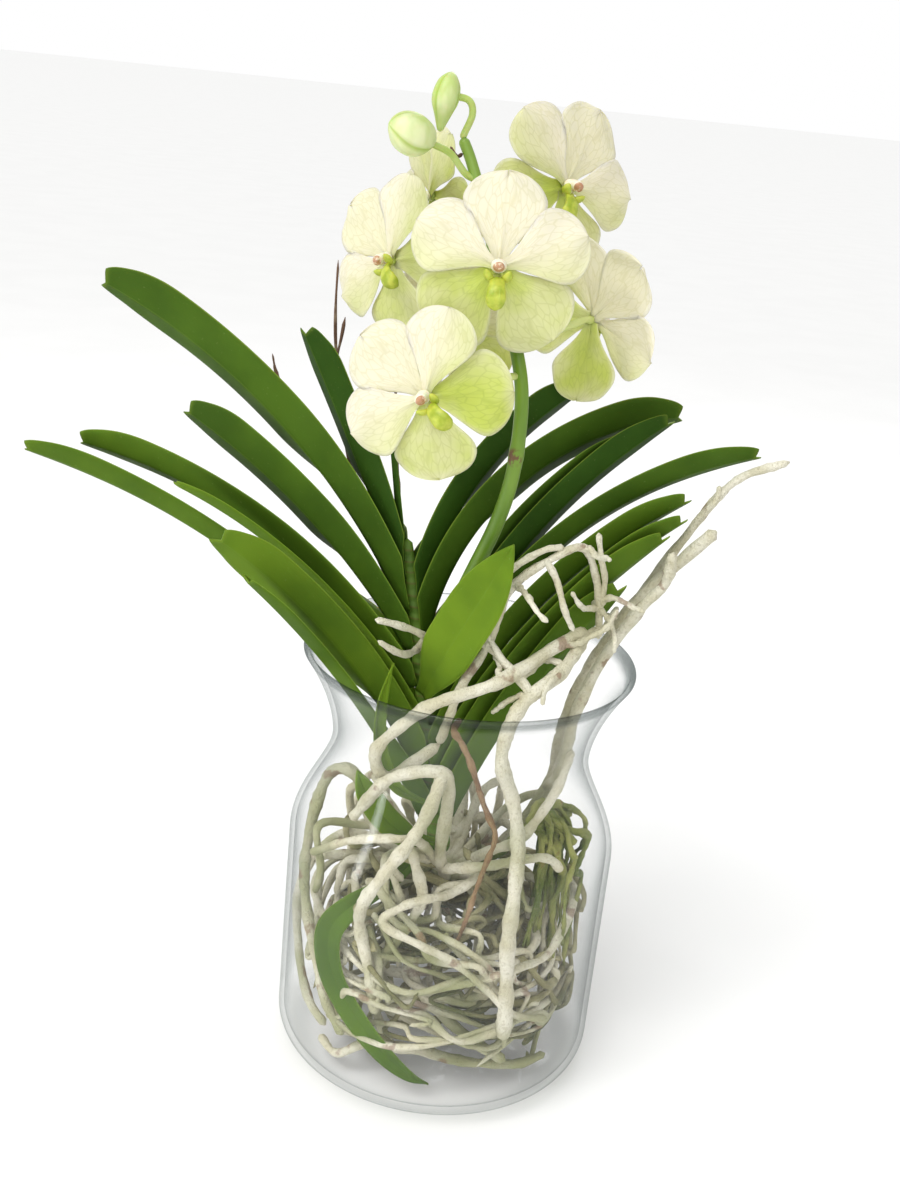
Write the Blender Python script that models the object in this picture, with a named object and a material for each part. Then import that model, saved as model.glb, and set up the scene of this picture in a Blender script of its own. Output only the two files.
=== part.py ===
# A vanda orchid that stands with bare roots in a clear glass vase.
# Metres, +Z up. The origin is the centre of the vase's foot, and the fan of leaves
# spreads along X, with its open face towards -Y.
import math
import random
from collections import namedtuple

import bmesh
import bpy
import numpy as np
from mathutils import Vector

# Clearance between neighbouring pieces
GAP = 0.0003

# Vase
VASE_HEIGHT = 0.200
VASE_FOOT_RADIUS = 0.062
VASE_BODY_RADIUS = 0.0755
VASE_NECK_RADIUS = 0.0588
VASE_RIM_RADIUS = 0.0745
VASE_SHOULDER_HEIGHT = 0.108
VASE_NECK_HEIGHT = 0.156
VASE_WALL = 0.0026
VASE_FLOOR = 0.005
VASE_SIDES = 36

# Stem
STEM_FOOT = Vector((-0.004, -0.002, 0.096))
STEM_TOP = Vector((-0.033, 0.004, 0.248))
STEM_FOOT_HALF_WIDTH = 0.0055
STEM_TOP_HALF_WIDTH = 0.0024
STEM_FLATNESS = 0.55
STEM_SIDES = 8
STEM_JOINTS = 10

# Leaves
LEAF_THICKNESS = 0.0009
LEAF_BASE_FOLD = 56
LEAF_BLADE_FOLD = 18
LEAF_OPENING = 0.5
LEAF_STATIONS = (0, 0.09, 0.22, 0.37, 0.53, 0.69, 0.83, 0.94, 1)
LEAF_TIP_START = 0.84
LEAF_TIP_REACH = 0.172
LEAF_NOTCH = 0.0035
LEAF_MARGIN = 0.0004

# Blooms: the petals lie in front of the three sepals
BLOOM_SPAN = 0.072
TEPAL_THICKNESS = 0.0008
TEPAL_STATIONS = (0.03, 0.25, 0.52, 0.8, 1)
TEPAL_COLUMNS = (-1, -0.45, 0.45, 1)
COLUMN_RADIUS = 0.0026
HUB_RADIUS = 0.0036
PEDICEL_RADIUS = 0.0014
STALK_START = 0.0025
SEPAL_SET_BACK = 0.0017

# Flower spike
SPIKE_SIDES = 7
SPIKE_FOOT_RADIUS = 0.0032
SPIKE_TOP_RADIUS = 0.0019

# Buds and bracts
BUD_SIDES = 8
BRACT_RADIUS = 0.0012
BRACT_LENGTH = 0.006

# Roots
ROOT_SIDES = 5
ROOT_SEED = 52
MOSS_SEED = 6
KNOB_RADIUS = 0.0052
WALL_ROOTS = 13
CORE_ROOTS = 7
MOSSY_ROOTS = 9
WANDER_STEPS = 8

# Dry twigs
TWIG_SIDES = 5
TWIG_RADIUS = 0.0011

Leaf = namedtuple("Leaf", "name side height length width swing rise droop roll")

# side: -1 left, 1 right; height of the joint on the stem; length and width of the blade;
# then degrees: swing back from the plane of the fan, lean from the upright at the joint
# and at the tip, and roll of the open blade about its keel.
LEAVES = (
    Leaf("leaf_left_01", -1, 0.238, 0.054, 0.014, 12, 8, 10, -30),
    Leaf("leaf_left_02", -1, 0.229, 0.114, 0.025, 14, 25, 29, -55),
    Leaf("leaf_left_03", -1, 0.214, 0.198, 0.032, 12, 29, 69, -58),
    Leaf("leaf_left_04", -1, 0.196, 0.144, 0.028, 10, 35, 62, -58),
    Leaf("leaf_left_05", -1, 0.178, 0.190, 0.026, 11, 38, 83, -50),
    Leaf("leaf_left_06", -1, 0.1645, 0.150, 0.015, 2.4, 30, 68, -30),
    Leaf("leaf_left_07", -1, 0.137, 0.149, 0.025, -18, 25, 54, -62),
    Leaf("leaf_left_08", -1, 0.157, 0.221, 0.023, 9, 41, 80, -45),
    Leaf("leaf_left_09", -1, 0.118, 0.147, 0.020, -24, 26, 46, -10),
    Leaf("leaf_right_01", 1, 0.222, 0.116, 0.025, 14, 8, 55, -52),
    Leaf("leaf_right_02", 1, 0.205, 0.157, 0.027, 12, 6, 82, -55),
    Leaf("leaf_right_03", 1, 0.187, 0.138, 0.024, 9, 13, 54, -35),
    Leaf("leaf_right_04", 1, 0.174, 0.164, 0.022, 5, 13, 52, -50),
    Leaf("leaf_right_05", 1, 0.162, 0.195, 0.022, 4, 9, 75, -45),
    Leaf("leaf_right_06", 1, 0.150, 0.161, 0.024, 2, 15, 57, -45),
    Leaf("leaf_right_07", 1, 0.139, 0.160, 0.024, 0, 18, 51, -40),
    Leaf("leaf_right_08", 1, 0.128, 0.158, 0.024, -4, 15, 46, -40),
    Leaf("leaf_right_09", 1, 0.117, 0.137, 0.024, -8, 18, 35, -45),
)

FreeLeaf = namedtuple("FreeLeaf", "name width fold face points")

# Leaves that stand out of the fan: width, fold in degrees, direction that the open side
# faces, and points along the keel from the joint to the tip.
FREE_LEAVES = (
    FreeLeaf("leaf_front", 0.024, 14, (-0.3, -0.9, 0.3),
             ((-0.0190, -0.0034, 0.178), (-0.013, -0.023, 0.201), (-0.005, -0.031, 0.222),
              (0.004, -0.038, 0.244), (0.012, -0.042, 0.265))),
    FreeLeaf("leaf_folded", 0.010, 48, (0.6, -0.8, 0),
             ((-0.0118, -0.0088, 0.126), (-0.028, -0.023, 0.141), (-0.037, -0.026, 0.160),
              (-0.038, -0.029, 0.183), (-0.033, -0.032, 0.204))),
    FreeLeaf("leaf_inner", 0.013, 20, (0.3, -0.9, 0.3),
             ((-0.0075, -0.0050, 0.104), (-0.020, -0.016, 0.112), (-0.031, -0.021, 0.123),
              (-0.040, -0.025, 0.137), (-0.045, -0.027, 0.149))),
    FreeLeaf("leaf_drooping", 0.014, 16, (-0.4, -0.9, 0),
             ((-0.0105, -0.0036, 0.0992), (-0.024, -0.022, 0.093), (-0.042, -0.040, 0.087),
              (-0.050, -0.042, 0.074), (-0.047, -0.046, 0.056), (-0.036, -0.053, 0.041),
              (-0.021, -0.059, 0.026), (-0.008, -0.060, 0.015), (0.001, -0.057, 0.009))),
)

Bloom = namedtuple("Bloom", "name centre yaw pitch roll scale joint")

# centre of the bloom; yaw to +X, pitch up and clockwise roll of its face in degrees,
# from a bloom that looks along -Y; scale; and height of its joint on the spike.
BLOOMS = (
    Bloom("bloom_1", (-0.006, -0.0385, 0.373), 0, 8, 0, 1.0, 0.352),
    Bloom("bloom_2", (-0.029, -0.050, 0.323), -10, 1, -57, 0.97, 0.330),
    Bloom("bloom_3", (-0.050, 0.000, 0.367), -38, 0, -58, 0.96, 0.366),
    Bloom("bloom_4", (-0.037, 0.016, 0.392), -60, -10, -34, 0.84, 0.384),
    Bloom("bloom_5", (0.019, 0.016, 0.4015), 33, 5, 30, 1.0, 0.392),
    Bloom("bloom_6", (0.036, 0.003, 0.351), 140, 0, -43, 0.96, 0.340),
    Bloom("bloom_7", (-0.024, 0.035, 0.337), 190, 0, 0, 0.95, 0.358),
)

# Points along the middle of the spike, from its joint at the stem to its tip
SPIKE_ROUTE = (
    (-0.0180, -0.0070, 0.197),
    (-0.004, -0.016, 0.240),
    (0.005, -0.020, 0.268),
    (0.009, -0.024, 0.292),
    (0.009, -0.024, 0.320),
    (0.0045, -0.022, 0.340),
    (-0.002, -0.018, 0.354),
    (-0.011, -0.012, 0.384),
    (-0.020, -0.008, 0.407),
    (-0.025, -0.006, 0.417),
)

# Points along the pale roots that show one by one, with the radius at the start and the
# tip: the long front root, the arches above the rim, the strong roots at the right, and
# those that cross in front of the mass in the vase.
PALE_ROOTS = (
    (0.0026, 0.0034, ((-0.010, -0.016, 0.160), (-0.030, -0.034, 0.151), (-0.037, -0.038, 0.164),
                      (-0.025, -0.042, 0.181), (-0.011, -0.044, 0.194), (0.013, -0.040, 0.204),
                      (0.037, -0.028, 0.218), (0.047, -0.023, 0.221), (0.040, -0.032, 0.210),
                      (0.027, -0.040, 0.199), (0.020, -0.043, 0.188), (0.018, -0.044, 0.170),
                      (0.024, -0.043, 0.150), (0.028, -0.052, 0.131), (0.029, -0.060, 0.111),
                      (0.029, -0.061, 0.086), (0.031, -0.060, 0.059), (0.032, -0.060, 0.039))),
    (0.0020, 0.0016, ((-0.010, -0.016, 0.160), (-0.006, -0.025, 0.180), (-0.002, -0.030, 0.198),
                      (0.005, -0.030, 0.213), (0.010, -0.032, 0.231), (0.015, -0.032, 0.245),
                      (0.027, -0.030, 0.256), (0.041, -0.026, 0.261), (0.049, -0.022, 0.248),
                      (0.052, -0.020, 0.234), (0.054, -0.016, 0.218))),
    (0.0016, 0.0014, ((-0.002, -0.030, 0.198), (-0.002, -0.030, 0.215), (0.003, -0.030, 0.236),
                      (0.013, -0.033, 0.252), (0.024, -0.032, 0.260), (0.033, -0.029, 0.262))),
    (0.0016, 0.0012, ((0.026, -0.031, 0.257), (0.031, -0.034, 0.250), (0.035, -0.038, 0.239),
                      (0.041, -0.036, 0.228))),
    (0.0014, 0.0012, ((0.052, -0.020, 0.234), (0.053, -0.022, 0.246), (0.049, -0.024, 0.258),
                      (0.047, -0.024, 0.268))),
    (0.0018, 0.0014, ((0.027, -0.040, 0.199), (0.018, -0.035, 0.206), (0.010, -0.031, 0.213),
                      (0.000, -0.030, 0.217))),
    (0.0018, 0.0012, ((0.027, -0.040, 0.199), (0.021, -0.037, 0.206), (0.012, -0.035, 0.213),
                      (0.004, -0.033, 0.223))),
    (0.0034, 0.0042, ((0.004, 0.004, 0.090), (0.028, 0.024, 0.094), (0.044, 0.026, 0.122),
                      (0.046, 0.019, 0.150), (0.049, 0.016, 0.170), (0.058, 0.010, 0.200),
                      (0.071, 0.004, 0.230), (0.086, 0.000, 0.251), (0.099, -0.004, 0.268))),
    (0.0034, 0.0026, ((0.044, 0.026, 0.122), (0.050, 0.012, 0.150), (0.052, 0.012, 0.172),
                      (0.064, 0.014, 0.206), (0.076, 0.010, 0.236), (0.090, 0.008, 0.264),
                      (0.098, 0.006, 0.279), (0.109, 0.006, 0.291), (0.127, 0.006, 0.299))),
    (0.0018, 0.0012, ((0.090, 0.008, 0.264), (0.097, 0.002, 0.279), (0.098, 0.000, 0.287))),
    (0.0026, 0.0024, ((0.044, 0.026, 0.122), (0.048, 0.004, 0.145), (0.050, -0.004, 0.172),
                      (0.059, -0.006, 0.205), (0.070, -0.008, 0.231), (0.080, -0.009, 0.244),
                      (0.081, -0.012, 0.259))),
    (0.0030, 0.0026, ((0.000, -0.010, 0.090), (-0.004, -0.030, 0.112), (-0.004, -0.036, 0.140),
                      (-0.007, -0.044, 0.160), (-0.026, -0.044, 0.156), (-0.037, -0.040, 0.144),
                      (-0.045, -0.038, 0.130))),
    (0.0030, 0.0026, ((-0.007, -0.044, 0.160), (-0.012, -0.050, 0.142), (-0.019, -0.056, 0.129),
                      (-0.028, -0.058, 0.117), (-0.035, -0.055, 0.102), (-0.036, -0.052, 0.086),
                      (-0.034, -0.053, 0.073), (-0.029, -0.055, 0.057), (-0.026, -0.056, 0.043))),
    (0.0022, 0.0018, ((0.000, -0.010, 0.090), (-0.010, -0.034, 0.116), (-0.019, -0.048, 0.129),
                      (-0.034, -0.050, 0.129), (-0.048, -0.044, 0.121), (-0.063, -0.026, 0.104))),
    (0.0026, 0.0022, ((0.000, -0.006, 0.090), (-0.014, -0.032, 0.112), (-0.015, -0.043, 0.116),
                      (-0.011, -0.047, 0.101), (-0.016, -0.046, 0.083), (-0.025, -0.045, 0.063),
                      (-0.028, -0.046, 0.047), (-0.025, -0.044, 0.031), (-0.018, -0.040, 0.014))),
    (0.0026, 0.0020, ((0.000, -0.006, 0.088), (0.000, -0.028, 0.104), (0.011, -0.037, 0.113),
                      (0.025, -0.040, 0.117), (0.043, -0.038, 0.120), (0.050, -0.034, 0.113))),
    (0.0022, 0.0016, ((0.000, -0.006, 0.088), (0.013, -0.028, 0.102), (0.003, -0.038, 0.099),
                      (-0.008, -0.050, 0.101), (-0.018, -0.056, 0.099), (-0.026, -0.060, 0.094),
                      (-0.009, -0.063, 0.086), (0.009, -0.061, 0.075), (0.026, -0.060, 0.061),
                      (0.036, -0.057, 0.051), (0.052, -0.046, 0.042))),
    (0.0028, 0.0024, ((-0.014, -0.020, 0.066), (-0.010, -0.036, 0.050), (0.006, -0.047, 0.038),
                      (0.021, -0.050, 0.028), (0.035, -0.051, 0.021))),
    (0.0026, 0.0020, ((-0.018, -0.040, 0.014), (-0.001, -0.046, 0.018), (0.018, -0.046, 0.014),
                      (0.040, -0.042, 0.012), (0.055, -0.030, 0.011))),
    (0.0022, 0.0018, ((-0.018, -0.040, 0.014), (-0.030, -0.046, 0.018), (-0.042, -0.044, 0.011),
                      (-0.052, -0.032, 0.010))),
    (0.0030, 0.0022, ((-0.012, 0.000, 0.090), (-0.036, -0.004, 0.108), (-0.046, -0.008, 0.136),
                      (-0.057, -0.006, 0.136), (-0.064, -0.012, 0.118), (-0.067, -0.008, 0.095),
                      (-0.065, -0.018, 0.086), (-0.061, -0.028, 0.069), (-0.055, -0.037, 0.050),
                      (-0.049, -0.045, 0.038), (-0.040, -0.051, 0.026))),
    (0.0020, 0.0016, ((-0.036, -0.004, 0.108), (-0.060, -0.019, 0.115), (-0.057, -0.029, 0.099),
                      (-0.060, -0.024, 0.082))),
    (0.0024, 0.0020, ((-0.012, 0.004, 0.088), (-0.050, 0.012, 0.094), (-0.068, 0.008, 0.072),
                      (-0.067, -0.012, 0.047), (-0.060, -0.030, 0.030), (-0.049, -0.040, 0.022))),
    (0.0026, 0.0020, ((0.004, -0.004, 0.092), (0.018, -0.022, 0.112), (0.030, -0.028, 0.122),
                      (0.038, -0.026, 0.136), (0.046, -0.020, 0.150), (0.050, -0.012, 0.162))),
)

# Brown root in front of the mass, and two small roots at the left of the front leaf
BROWN_ROOT = ((-0.002, -0.014, 0.172), (-0.004, -0.028, 0.173), (0.000, -0.033, 0.169), (0.006, -0.036, 0.159),
              (0.013, -0.038, 0.143), (0.018, -0.044, 0.133), (0.016, -0.047, 0.121),
              (0.013, -0.048, 0.107), (0.010, -0.048, 0.092), (0.006, -0.048, 0.076))
SMALL_ROOTS = (
    (0.0019, 0.0014, ((-0.0236, -0.0053, 0.2005), (-0.021, -0.018, 0.211), (-0.030, -0.027, 0.219),
                      (-0.042, -0.033, 0.223))),
    (0.0018, 0.0013, ((-0.0236, -0.0053, 0.2005), (-0.029, -0.026, 0.205), (-0.040, -0.034, 0.214))),
)

# Dry twigs behind the fan of leaves
TWIG_ROUTES = {
    "dry_twig_1": (((-0.036, 0.014, 0.234), (-0.055, 0.036, 0.254), (-0.067, 0.042, 0.280),
                    (-0.074, 0.042, 0.327), (-0.075, 0.040, 0.360)),
                   ((-0.067, 0.042, 0.280), (-0.073, 0.040, 0.305), (-0.070, 0.038, 0.336))),
    "dry_twig_2": (((-0.037, 0.011, 0.256), (-0.043, 0.030, 0.283), (-0.045, 0.032, 0.312),
                    (-0.045, 0.032, 0.337)),),
    "dry_twig_3": (((-0.026, 0.0084, 0.200), (-0.054, 0.034, 0.240), (-0.082, 0.036, 0.280),
                    (-0.097, 0.036, 0.305), (-0.101, 0.036, 0.317)),),
}

# Buds: points along the stalk with its joint on the spike, and along the bud with radii
BUDS = {
    "bud_1": (((-0.0245, -0.006, 0.4185), (-0.022, -0.007, 0.426), (-0.024, -0.008, 0.431),
               (-0.031, -0.009, 0.432)),
              ((-0.031, -0.009, 0.440), (-0.032, -0.0095, 0.436), (-0.033, -0.010, 0.430),
               (-0.0335, -0.010, 0.424), (-0.034, -0.010, 0.420)),
              (0.0015, 0.0046, 0.0055, 0.0030, 0.0006)),
    "bud_2": (((-0.0225, -0.010, 0.404), (-0.029, -0.012, 0.411), (-0.036, -0.016, 0.414),
               (-0.042, -0.019, 0.417)),
              ((-0.036, -0.016, 0.414), (-0.039, -0.018, 0.4155), (-0.044, -0.020, 0.417),
               (-0.049, -0.023, 0.419), (-0.052, -0.025, 0.420)),
              (0.0020, 0.0070, 0.0085, 0.0064, 0.0020)),
}

# Dry bracts: height on the spike, and the direction in which each stands off it
BRACTS = {
    "bract_1": (0.4120, Vector((-0.95, -0.1, 0.1))),
    "bract_2": (0.3420, Vector((0.9, -0.2, 0.1))),
}


def clear_scene():
    """Remove every object that the file opens with."""
    for obj in list(bpy.data.objects):
        bpy.data.objects.remove(obj, do_unlink=True)


def make_material(name, colour, roughness, transmission=0.0):
    """A Principled material of one colour, written as sRGB hex."""
    channels = [int(colour[i:i + 2], 16) / 255 for i in (0, 2, 4)]
    linear = [c / 12.92 if c <= 0.04045 else ((c + 0.055) / 1.055) ** 2.4 for c in channels]
    material = bpy.data.materials.new(name)
    material.use_nodes = True
    shader = material.node_tree.nodes["Principled BSDF"]
    shader.inputs["Base Color"].default_value = (*linear, 1)
    shader.inputs["Roughness"].default_value = roughness
    shader.inputs["Metallic"].default_value = 0
    shader.inputs["Transmission Weight"].default_value = transmission
    material.diffuse_color = (*linear, 1)
    return material


def smoothstep(value):
    """0 below 0, 1 above 1, and a soft rise between."""
    value = min(max(value, 0), 1)
    return value * value * (3 - 2 * value)


def make_object(name, mesh, material):
    """Link a mesh as a smooth-shaded object with its material."""
    mesh.materials.clear()
    mesh.materials.append(material)
    mesh.shade_smooth()
    mesh.set_sharp_from_angle(angle=math.radians(40))
    obj = bpy.data.objects.new(name, mesh)
    bpy.context.scene.collection.objects.link(obj)
    return obj


def mesh_from(points, faces):
    """A mesh from corner points and faces."""
    mesh = bpy.data.meshes.new("solid")
    mesh.from_pydata([tuple(p) for p in points], [], faces)
    mesh.validate()
    return mesh


def smooth_route(points, steps):
    """Catmull-Rom curve through the points, with a number of steps in each span."""
    points = [Vector(p) for p in points]
    padded = [points[0] * 2 - points[1], *points, points[-1] * 2 - points[-2]]
    route = []
    for before, start, end, after in zip(padded, padded[1:], padded[2:], padded[3:]):
        for step in range(steps):
            t = step / steps
            route.append(0.5 * (2 * start + (end - before) * t
                                + (2 * before - 5 * start + 4 * end - after) * t ** 2
                                + (3 * start - before - 3 * end + after) * t ** 3))
    route.append(points[-1])
    return route


def tube(route, radii, sides, flat=1.0, wide=None):
    """Closed tube along a route, with a radius at each point and flat end caps.

    A flat tube is wide in the given direction.
    """
    tangents = [(route[min(i + 1, len(route) - 1)] - route[max(i - 1, 0)]).normalized()
                for i in range(len(route))]
    across = wide or tangents[0].orthogonal().normalized()
    points = []
    for centre, tangent, radius in zip(route, tangents, radii):
        across = (across - tangent * across.dot(tangent)).normalized()
        other = tangent.cross(across)
        for side in range(sides):
            angle = math.tau * side / sides
            points.append(centre + radius * (across * math.cos(angle)
                                             + other * flat * math.sin(angle)))
    faces = []
    for ring in range(len(route) - 1):
        for side in range(sides):
            a = ring * sides + side
            b = ring * sides + (side + 1) % sides
            faces.append((a, b, b + sides, a + sides))
    faces.append(tuple(reversed(range(sides))))
    last = (len(route) - 1) * sides
    faces.append(tuple(range(last, last + sides)))
    return mesh_from(points, faces)


def sheet(front, thickness):
    """Closed thin solid behind a grid of front points, split alike on both faces."""
    rows, columns = front.shape[:2]
    along = np.gradient(front, axis=0)
    across = np.gradient(front, axis=1)
    normals = np.cross(across, along)
    normals /= np.linalg.norm(normals, axis=2, keepdims=True)
    back = front - normals * thickness
    points = np.concatenate([front.reshape(-1, 3), back.reshape(-1, 3)])
    size = rows * columns
    faces = []
    for row in range(rows - 1):
        for column in range(columns - 1):
            a = row * columns + column
            b = a + 1
            c = a + columns + 1
            d = a + columns
            faces += [(a, b, c), (a, c, d)]
            faces += [(a + size, c + size, b + size), (a + size, d + size, c + size)]
    edge = [(0, c) for c in range(columns)]
    edge += [(r, columns - 1) for r in range(1, rows)]
    edge += [(rows - 1, c) for c in range(columns - 2, -1, -1)]
    edge += [(r, 0) for r in range(rows - 2, 0, -1)]
    rim = [r * columns + c for r, c in edge]
    for a, b in zip(rim, rim[1:] + rim[:1]):
        faces += [(a, a + size, b + size), (a, b + size, b)]
    return mesh_from(points, faces)


def fuse(name, solids, material):
    """Join overlapping closed solids into one body with a Boolean union."""
    body = make_object(name, solids[0], material)
    if len(solids) == 1:
        return body
    others = bpy.data.collections.new(name + "_pieces")
    bpy.context.scene.collection.children.link(others)
    for solid in solids[1:]:
        others.objects.link(bpy.data.objects.new(name + "_piece", solid))
    union = body.modifiers.new("union", "BOOLEAN")
    union.operation = "UNION"
    union.solver = "MANIFOLD"
    union.operand_type = "COLLECTION"
    union.collection = others
    depsgraph = bpy.context.evaluated_depsgraph_get()
    joined = bpy.data.meshes.new_from_object(body.evaluated_get(depsgraph))
    body.modifiers.clear()
    for piece in list(others.objects):
        bpy.data.objects.remove(piece, do_unlink=True)
    bpy.data.collections.remove(others)
    bpy.data.objects.remove(body, do_unlink=True)
    keep_outer_body(joined)
    return make_object(name, joined, material)


def keep_outer_body(mesh):
    """Fill sealed hollows and drop loose scraps: only the largest shell stays."""
    shape = bmesh.new()
    shape.from_mesh(mesh)
    bmesh.ops.triangulate(shape, faces=shape.faces)
    left = set(shape.verts)
    shells = []
    while left:
        shell = set()
        queue = [left.pop()]
        while queue:
            vertex = queue.pop()
            shell.add(vertex)
            for edge in vertex.link_edges:
                other = edge.other_vert(vertex)
                if other in left:
                    left.remove(other)
                    queue.append(other)
        shells.append(shell)
    shells.sort(key=len)
    for shell in shells[:-1]:
        bmesh.ops.delete(shape, geom=list(shell), context="VERTS")
    shape.to_mesh(mesh)
    shape.free()


def vase_profile():
    """Outer and inner radius-height points of the vase, from foot to rim and back."""
    outer = [(0, 0), (VASE_FOOT_RADIUS, 0)]
    corner = VASE_BODY_RADIUS - VASE_FOOT_RADIUS
    for step in range(1, 5):
        angle = math.pi / 2 * step / 4
        outer.append((VASE_FOOT_RADIUS + corner * math.sin(angle),
                      corner * (1 - math.cos(angle))))
    drop = VASE_BODY_RADIUS - VASE_NECK_RADIUS
    rise = VASE_NECK_HEIGHT - VASE_SHOULDER_HEIGHT
    for step in range(6):
        t = step / 6
        outer.append((VASE_BODY_RADIUS - drop * smoothstep(t), VASE_SHOULDER_HEIGHT + rise * t))
    flare = VASE_RIM_RADIUS - VASE_NECK_RADIUS
    for step in range(5):
        t = step / 4
        outer.append((VASE_NECK_RADIUS + flare * t ** 1.8,
                      VASE_NECK_HEIGHT + (VASE_HEIGHT - 0.0015 - VASE_NECK_HEIGHT) * t))
    lip = [(VASE_RIM_RADIUS - 0.0006, VASE_HEIGHT - 0.0003),
           (VASE_RIM_RADIUS - VASE_WALL * 0.6, VASE_HEIGHT)]
    inner = [(max(r - VASE_WALL, 0), z) for r, z in outer[5:]]
    inner.reverse()
    floor_radius = VASE_FOOT_RADIUS - VASE_WALL
    bowl = [(VASE_BODY_RADIUS - VASE_WALL - 0.004, VASE_FLOOR + 0.003),
            (floor_radius, VASE_FLOOR), (0, VASE_FLOOR)]
    return outer + lip + inner + bowl


def make_vase(material):
    """Turned vase: rounded foot, straight body, drawn-in neck and flared rim."""
    shape = bmesh.new()
    vertices = [shape.verts.new((r, 0, z)) for r, z in vase_profile()]
    edges = [shape.edges.new(pair) for pair in zip(vertices, vertices[1:])]
    bmesh.ops.spin(shape, geom=vertices + edges, cent=(0, 0, 0), axis=(0, 0, 1),
                   angle=math.tau, steps=VASE_SIDES, use_merge=True)
    bmesh.ops.remove_doubles(shape, verts=shape.verts, dist=0.00005)
    bmesh.ops.recalc_face_normals(shape, faces=shape.faces)
    mesh = bpy.data.meshes.new("solid")
    shape.to_mesh(mesh)
    shape.free()
    return make_object("vase", mesh, material)


def stem_at(height):
    """Centre of the stem at a height, and its half width in the plane of the fan."""
    t = (height - STEM_FOOT.z) / (STEM_TOP.z - STEM_FOOT.z)
    half = STEM_FOOT_HALF_WIDTH + (STEM_TOP_HALF_WIDTH - STEM_FOOT_HALF_WIDTH) * t
    return STEM_FOOT.lerp(STEM_TOP, t), half


def make_stem(material):
    """Leaning flattened stem with a slight waist above each leaf joint."""
    route = []
    radii = []
    for joint in range(STEM_JOINTS + 1):
        height = STEM_FOOT.z + (STEM_TOP.z - STEM_FOOT.z) * joint / STEM_JOINTS
        centre, half = stem_at(height)
        route.append(centre)
        radii.append(half * (0.92 if joint % 2 else 1.0))
    stem = tube(route, radii, STEM_SIDES, STEM_FLATNESS, Vector((1, 0, 0)))
    return make_object("stem", stem, material)


def turned(first, second, degrees):
    """Direction that lies the given angle from the first towards the second."""
    angle = math.radians(degrees)
    return first * math.cos(angle) + second * math.sin(angle)


def leaf_grid(leaf):
    """Inner points of a strap leaf: back edge, keel and front edge at each station."""
    up = np.array([0, 0, 1])
    front = np.array([0, -1, 0])
    out = turned(np.array([leaf.side, 0, 0]), -front, leaf.swing)
    behind = turned(-front, np.array([-leaf.side, 0, 0]), leaf.swing)
    stem_line = np.array((STEM_TOP - STEM_FOOT).normalized())
    fan_side = leaf.side * np.cross(stem_line, front)
    centre, half_width = stem_at(leaf.height)
    fold = math.radians(LEAF_BASE_FOLD)
    swing = math.radians(abs(leaf.swing))
    spread = math.hypot(half_width * math.cos(fold - swing),
                        half_width * STEM_FLATNESS * math.sin(fold - swing))
    place = np.array(centre) + out * (spread + GAP) / math.cos(fold)
    rows = []
    last = 0
    for station in LEAF_STATIONS:
        middle = (station + last) / 2
        place = place + turned(up, out, leaf.rise + (leaf.droop - leaf.rise) * middle) \
            * leaf.length * (station - last)
        last = station
        lean = leaf.rise + (leaf.droop - leaf.rise) * station
        along = turned(up, out, lean)
        inward = turned(-out, up, lean)
        opening = smoothstep(station / LEAF_OPENING)
        fold = LEAF_BASE_FOLD + (LEAF_BLADE_FOLD - LEAF_BASE_FOLD) * opening
        roll = leaf.roll * opening
        to_back = turned(behind, inward, fold + roll)
        to_front = turned(-behind, inward, fold - roll)
        past_tip = max(station - LEAF_TIP_START, 0) / LEAF_TIP_REACH
        half = leaf.width / 2 * math.sqrt(1 - past_tip ** 2)
        to_middle = np.dot(place - np.array(STEM_FOOT), fan_side) - LEAF_MARGIN
        for edge in (to_back, to_front):
            slope = -np.dot(edge, fan_side)
            if slope > 0:
                half = min(half, to_middle / slope)
        lobe = LEAF_NOTCH if station == 1 else 0
        rows.append([place + to_back * half + along * lobe, place,
                     place + to_front * half + along * lobe * 0.5])
    grid = np.array(rows)
    return grid if leaf.side > 0 else grid[:, ::-1]


def make_leaf(leaf, material):
    """One strap leaf with a folded base, an open blade and a notched tip."""
    return make_object(leaf.name, sheet(leaf_grid(leaf), LEAF_THICKNESS), material)


def make_free_leaf(leaf, material):
    """One leaf whose keel follows its own points, folded evenly along its length."""
    route = [np.array(p) for p in smooth_route(leaf.points, 2)]
    last = len(route) - 1
    face = np.array(leaf.face) / np.linalg.norm(leaf.face)
    rows = []
    for i, place in enumerate(route):
        along = route[min(i + 1, last)] - route[max(i - 1, 0)]
        along /= np.linalg.norm(along)
        side = np.cross(along, face)
        side /= np.linalg.norm(side)
        inward = np.cross(side, along)
        share = i / last
        past_tip = max(share - LEAF_TIP_START, 0) / LEAF_TIP_REACH
        half = leaf.width / 2 * (0.35 + 0.65 * smoothstep(share / 0.4)) \
            * math.sqrt(1 - past_tip ** 2)
        rows.append([place + turned(side, inward, leaf.fold) * half, place,
                     place + turned(-side, inward, leaf.fold) * half])
    return make_object(leaf.name, sheet(np.array(rows), LEAF_THICKNESS), material)


def spike_at(height):
    """Centre of the spike at a height, from its smooth route."""
    route = smooth_route(SPIKE_ROUTE, 4)
    for low, high in zip(route, route[1:]):
        if low.z <= height <= high.z:
            return low.lerp(high, (height - low.z) / (high.z - low.z))
    return route[-1]


def spike_radius(height):
    """Radius of the spike at a height: an even taper from its foot to its tip."""
    foot = SPIKE_ROUTE[0][2]
    share = (height - foot) / (SPIKE_ROUTE[-1][2] - foot)
    return SPIKE_FOOT_RADIUS + (SPIKE_TOP_RADIUS - SPIKE_FOOT_RADIUS) * share


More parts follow.
